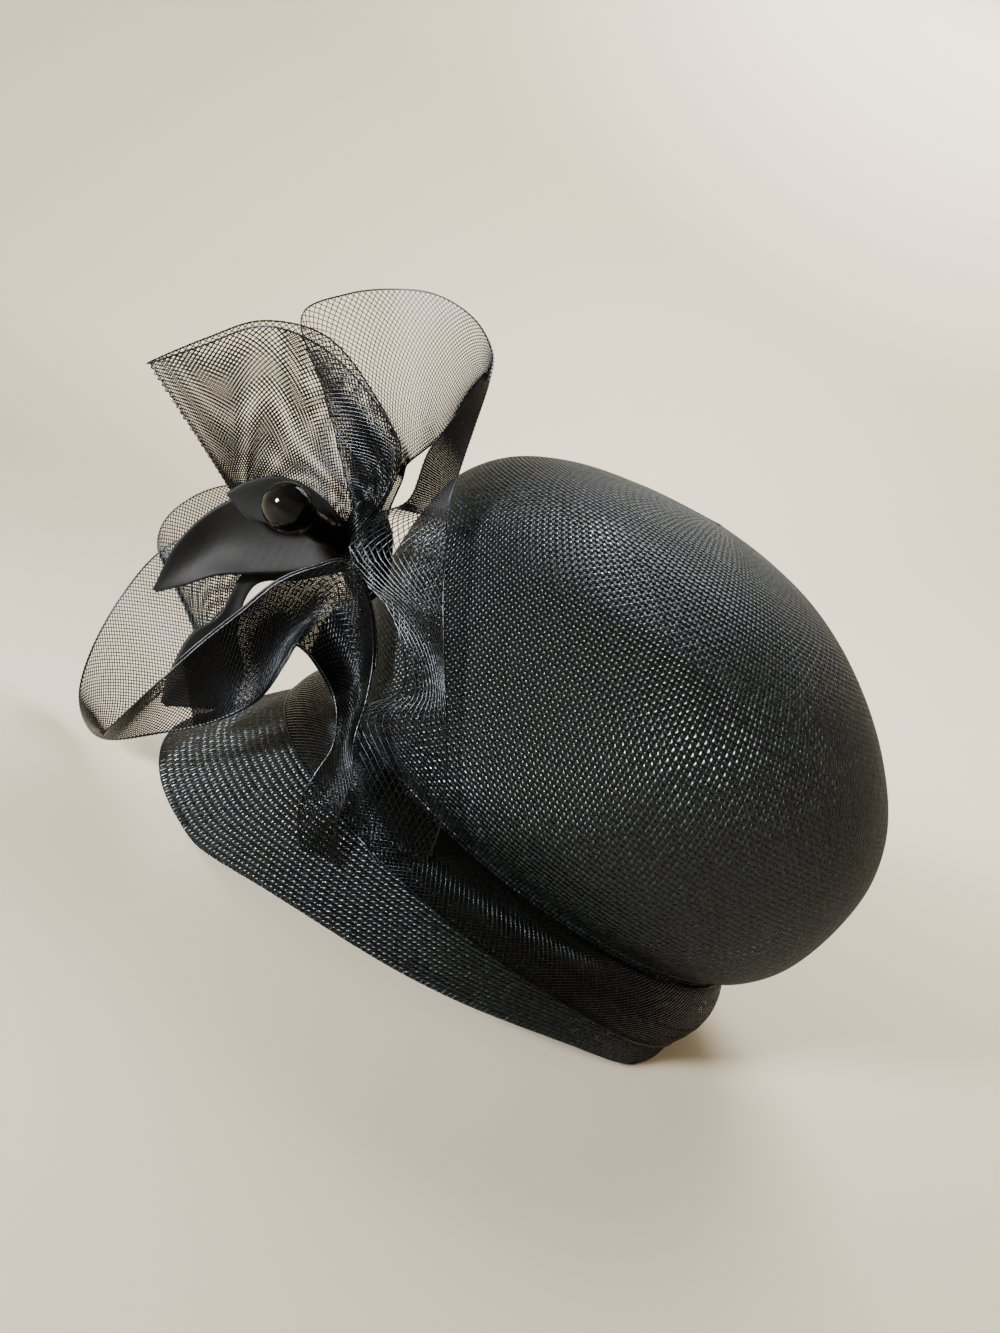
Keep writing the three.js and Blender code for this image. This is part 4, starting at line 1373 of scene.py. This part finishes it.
class Millinery:
    """The whole hat: builds each sub-assembly and dresses it.

    Lengths are in millimetres. Clear is how far cloth lies off the hat, and fine says how close a
    net's threads stand. The hood is the net drawn over the knot: its place from the knot, its half
    sizes, the angle left open at its ends, and the size of the layer inside it. The lining is the
    pressed ribbon under the low loop's roll. The neck's wrinkles have a depth and a number.
    """

    clear: float = 0.8
    back_gap: float = 0.4
    ribbon_spans: int = 12
    ribbon_across: int = 24
    hood_offset: tuple = (2.6, 1.2, 3.0)
    hood_half: tuple = (8.8, 9.5, 18.0)
    hood_open: float = 0.12
    hood_inside: float = 0.84
    lining_inset: float = 1.3
    lining_fine: float = 0.5
    wrinkle_depth: float = 0.07
    wrinkles: int = 4

    def __init__(self) -> None:
        """Makes the finishes and what the cloth lies on."""
        self.straw = WovenStraw().material()
        self.crin = NylonThread().material()
        self.satin = BlackSatin().material()
        self.wrap = BlackSatin("tight black ribbon", "#050505", 0.24).material()
        self.glass = PolishedBead().material()
        self.mould = Mould.of_hat()

    def dress(self, piece: bpy.types.Object, material: bpy.types.Material) -> None:
        """Gives a piece its finish, and lets it ride on the hat.

        Args:
            piece: the piece.
            material: its finish.
        """
        piece.data.materials.append(material)
        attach(piece, "root")
        LOG.info("%s: %d faces", piece.name, len(piece.data.polygons))

    def straw_bodies(self) -> None:
        """The crown and the brim."""
        crown = StrawBody("crown_straw", (HAT.crown,), HAT.straw_wall, "crown", True)
        brim = StrawBody("brim_straw", (HAT.bell, HAT.collar), HAT.straw_wall, "brim", False, inner_rows=12)
        for body in (crown, brim):
            piece = body.build()
            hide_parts(body.node)
            self.dress(piece, self.straw)

    def band(self) -> None:
        """The crin band, a ribbon folded in two along its length: a puffed face and a flat back."""
        turn = np.arange(300) / 300
        t = np.linspace(0, 1, 9)
        u, v = np.meshgrid(turn, t, indexing="ij")
        face = HAT.band(u, v)
        low, top = face[:, :1], face[:, -1:]
        back = low + (top - low) * t[::-1][None, :, None]
        back = back + grid_normals(face, True)[:, ::-1] * self.back_gap
        grid = np.concatenate([face, back[:, 1:]], axis=1)
        rests = ("crown_straw", "brim_straw")
        net = CrinNet("band_net", [NetLayer(grid, True)], ("crin_band",), Held.FOLDED, rests)
        self.dress(net.build(), self.crin)

    def ribbons(self) -> None:
        """The bow's ribbons, each laid off the hat and drawn into the knot.

        A ribbon that turns after some of its rows has a layer of net before the turn and one after
        it. The high loop's net is drawn out where it falls as the sash. The low loop's ribbon has a
        lining of two more layers, pressed together, under its roll.
        """
        gather = Gather()
        high, low = np.vstack([LOOP_HIGH_ROWS, SASH_ROWS]), np.vstack([LOOP_LOW_ROWS, CURL_ROWS])
        thread = Thread(spacing=1.05, thick=0.43)
        makes = (
            ("ribbon_front", LOOP_FRONT_ROWS, 0, ("loop_front",), 1.0, 1.0),
            ("ribbon_high_sash", high, len(LOOP_HIGH_ROWS), ("loop_high", "sash_fall"), 1.9, 1.6),
            ("ribbon_low_tail", low, len(LOOP_LOW_ROWS), ("loop_low", "curl_tail"), 1.0, 1.35),
            ("ribbon_flap", FLAP_ROWS, 0, ("flap",), 1.0, 1.0),
        )
        for name, rows, turn, nodes, drawn, fine in makes:
            grid = BOW.strip(rows, BOW.crin_width, self.ribbon_spans * len(rows), self.ribbon_across)
            grid = self.mould.lift(gather.apply(grid, name == "ribbon_front"), self.clear)
            cut = round(turn / len(rows) * len(grid)) if turn else len(grid)
            layers = [NetLayer(grid[:cut])]
            if turn:
                share = np.clip(np.linspace(0, 6, len(grid) - cut + 1), 0, 1)
                layers.append(NetLayer(grid[cut - 1 :], pull=1 + (drawn - 1) * share, fine=fine))
            if "curl_tail" in nodes:
                layers.append(NetLayer(self.lining(grid), fine=self.lining_fine, shift=0.3, plies=2))
            net = CrinNet(name, layers, nodes, Held.GATHERED, ("knot_gather",), thread)
            self.dress(net.build(), self.crin)

    def lining(self, grid: np.ndarray, start: float = 0.46, end: float = 0.78) -> np.ndarray:
        """A layer under part of a ribbon, on the side that faces the hat.

        Args:
            grid: the ribbon's points.
            start: where on the ribbon it starts, as a share.
            end: where it ends.

        Returns:
            The layer's points.
        """
        part = grid[int(start * len(grid)) : int(end * len(grid))]
        normals = grid_normals(part, False)
        outward = BOW.knot * np.array([1, 1, 0])
        side = np.sign((normals @ outward).sum())
        return part - normals * (side * self.lining_inset)

    def petals(self) -> None:
        """The satin petals."""
        makes = (
            ("petal_long_satin", PETAL_LONG_ROWS, "petal_long"),
            ("petal_top_satin", PETAL_TOP_ROWS, "petal_top"),
            ("petal_low_satin", PETAL_LOW_ROWS, "petal_low"),
            ("petal_back_satin", PETAL_BACK_ROWS, "petal_back"),
        )
        for name, rows, node in makes:
            self.dress(Petal(name, rows, node).build(self.mould), self.satin)

    def knot(self) -> None:
        """The knot: a tight lump, and net drawn over it as a long rounded hood."""
        upright, across = unit(np.array([-0.2, -0.45, 0.87])), unit(np.array([0.0, 0.88, 0.47]))
        out = np.cross(across, upright)
        middle = BOW.knot + np.array(self.hood_offset)
        turn = np.arange(64)[:, None] / 64 * 2 * np.pi
        slope = np.linspace(self.hood_open, np.pi - self.hood_open, 25)[None, :]
        wide, deep, tall = self.hood_half
        grid = (
            middle
            + across * (wide * np.cos(turn) * np.sin(slope))[..., None]
            + out * (deep * np.sin(turn) * np.sin(slope))[..., None]
            + upright * (tall * np.cos(slope) + 0 * turn)[..., None]
        )
        mesh = Mesh()
        inside = middle + (grid - middle) * self.hood_inside
        layers = [NetLayer(grid, True, fine=0.95), NetLayer(inside, True, fine=0.5, shift=0.5)]
        CrinNet("knot_gather", layers, ("knot",), Held.GATHERED, ()).fill(mesh)
        ball = bmesh.new()
        bmesh.ops.create_uvsphere(ball, u_segments=48, v_segments=24, radius=BOW.knot_radius)
        points = np.array([v.co for v in ball.verts]) + BOW.knot
        for sides in (3, 4):
            faces = [[v.index for v in face.verts] for face in ball.faces if len(face.verts) == sides]
            mesh.add(points, np.array(faces))
        ball.free()
        piece = mesh.object("knot_gather")
        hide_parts("knot")
        self.dress(piece, self.crin)

    def bead(self) -> None:
        """The bead, and the satin-wrapped neck that it stands on."""
        reach = float(np.linalg.norm(BOW.bead_reach))
        angle = np.linspace(0, np.pi, 65)
        ball = np.stack([reach - BOW.bead_radius * np.cos(angle), BOW.bead_radius * np.sin(angle)], axis=1)
        self.dress(Turned("bead_glass", "bead", ball, 96).build(), self.glass)
        start, end = BOW.knot_radius - 1, reach - BOW.bead_radius + 0.6
        height = np.linspace(start, end, 60)
        radius = BOW.neck_radius + (BOW.neck_tip_radius - BOW.neck_radius) * np.linspace(0, 1, 60)
        stem = np.vstack([(start, 0), np.stack([height, radius], axis=1), (end, 0)])
        neck = Turned("bead_neck_satin", "bead_neck", stem, 64)

        def wrinkle(h: np.ndarray, turn: np.ndarray) -> np.ndarray:
            """Shallow rings that sway round the neck: a sine of the height, moved by the turn's sine."""
            sway = 1.5 * np.sin(2 * np.pi * turn)
            return self.wrinkle_depth * np.sin(2 * np.pi * (h - start) / (end - start) * self.wrinkles + sway)

        self.dress(neck.build(wrinkle), self.wrap)

    def build(self) -> None:
        """Builds the hat in order."""
        self.straw_bodies()
        self.band()
        self.ribbons()
        self.petals()
        self.knot()
        self.bead()


@dataclass
class Studio:
    """A pale seamless bowl, soft lights and the camera."""

    floor_radius: float = 1.3
    sweep: float = 0.7
    wall: float = 1.6
    air_colour: str = "#F2F0EA"
    air: float = 0.14
    lens: float = 27.0
    sensor: float = 36.0
    camera_place: tuple = (392.4, -94.9, 174.5)
    camera_ahead: tuple = (-0.9703, 0.1210, -0.2095)
    camera_up: tuple = (-0.2419, -0.4851, 0.8403)

    def bowl(self) -> None:
        """The floor: a disc whose edge sweeps up through a quarter circle into a wall all round."""
        turns = np.linspace(0, np.pi / 2, 17)
        flat = np.stack([np.linspace(0, self.floor_radius, 8), np.zeros(8)], axis=1)
        out, rise = self.sweep * np.sin(turns), self.sweep * (1 - np.cos(turns))
        curve = np.stack([self.floor_radius + out, rise], axis=1)
        top = np.array([[self.floor_radius + self.sweep, self.sweep + self.wall]])
        profile = np.vstack([flat, curve[1:], top])
        angle = 2 * np.pi * np.arange(96)[None, :] / 96
        radius, height = profile[:, :1], profile[:, 1:]
        points = np.stack([radius * np.cos(angle), radius * np.sin(angle), height + 0 * angle], axis=-1)
        mesh = Mesh()
        mesh.add(points / MM - ORIGIN, grid_faces(len(points), 96, True))
        floor = mesh.object("studio_floor", merge=False)
        floor.data.materials.append(PaintedFloor().material())

    def lamp(self, name: str, place: tuple, aim: tuple, size: float, power: float, spread: float) -> None:
        """A soft square light.

        Args:
            name: the light's name.
            place: where it hangs, in metres.
            aim: the place that it looks at.
            size: its side, in metres.
            power: its power, in watts.
            spread: how wide it fans out, in degrees.
        """
        light = bpy.data.lights.new(name, "AREA")
        light.shape = "SQUARE"
        light.size = size
        light.energy = power
        light.spread = math.radians(spread)
        holder = bpy.data.objects.new(name, light)
        holder.location = place
        holder.rotation_euler = (Vector(aim) - Vector(place)).to_track_quat("-Z", "Y").to_euler()
        bpy.context.scene.collection.objects.link(holder)

    def lights(self) -> None:
        """A low narrow key from the front, a broad light over the back, and pale air."""
        self.lamp("key", (0.85, -1.0, 0.34), (0, 0, 0.09), 0.24, 3.2, 34)
        self.lamp("top", (-1.3, 0.25, 1.6), (-1.1, 0.22, 0), 1.1, 64, 180)
        world = bpy.data.worlds.new("pale air")
        bpy.context.scene.world = world
        world.use_nodes = True
        air = world.node_tree.nodes["Background"]
        air.inputs[0].default_value = linear(self.air_colour)
        air.inputs[1].default_value = self.air

    def camera(self) -> None:
        """The camera: its place and its turn from the way it looks and its upright."""
        data = bpy.data.cameras.new("camera")
        data.lens = self.lens
        data.sensor_width = self.sensor
        data.sensor_fit = "AUTO"
        data.clip_start = 0.01
        holder = bpy.data.objects.new("camera", data)
        ahead = Vector(self.camera_ahead).normalized()
        side = ahead.cross(Vector(self.camera_up)).normalized()
        up = side.cross(ahead)
        turn = Matrix((side, up, -ahead)).transposed().to_4x4()
        place = (np.array(self.camera_place) + ORIGIN) * MM
        holder.matrix_world = Matrix.Translation(place) @ turn
        bpy.context.scene.collection.objects.link(holder)
        bpy.context.scene.camera = holder

    def build(self) -> None:
        """Builds the studio."""
        self.bowl()
        self.lights()
        self.camera()


def main() -> None:
    """Builds the hat and its studio."""
    logging.basicConfig(level=logging.INFO, format="%(message)s")
    Millinery().build()
    Studio().build()


if __name__ == "__main__":
    main()
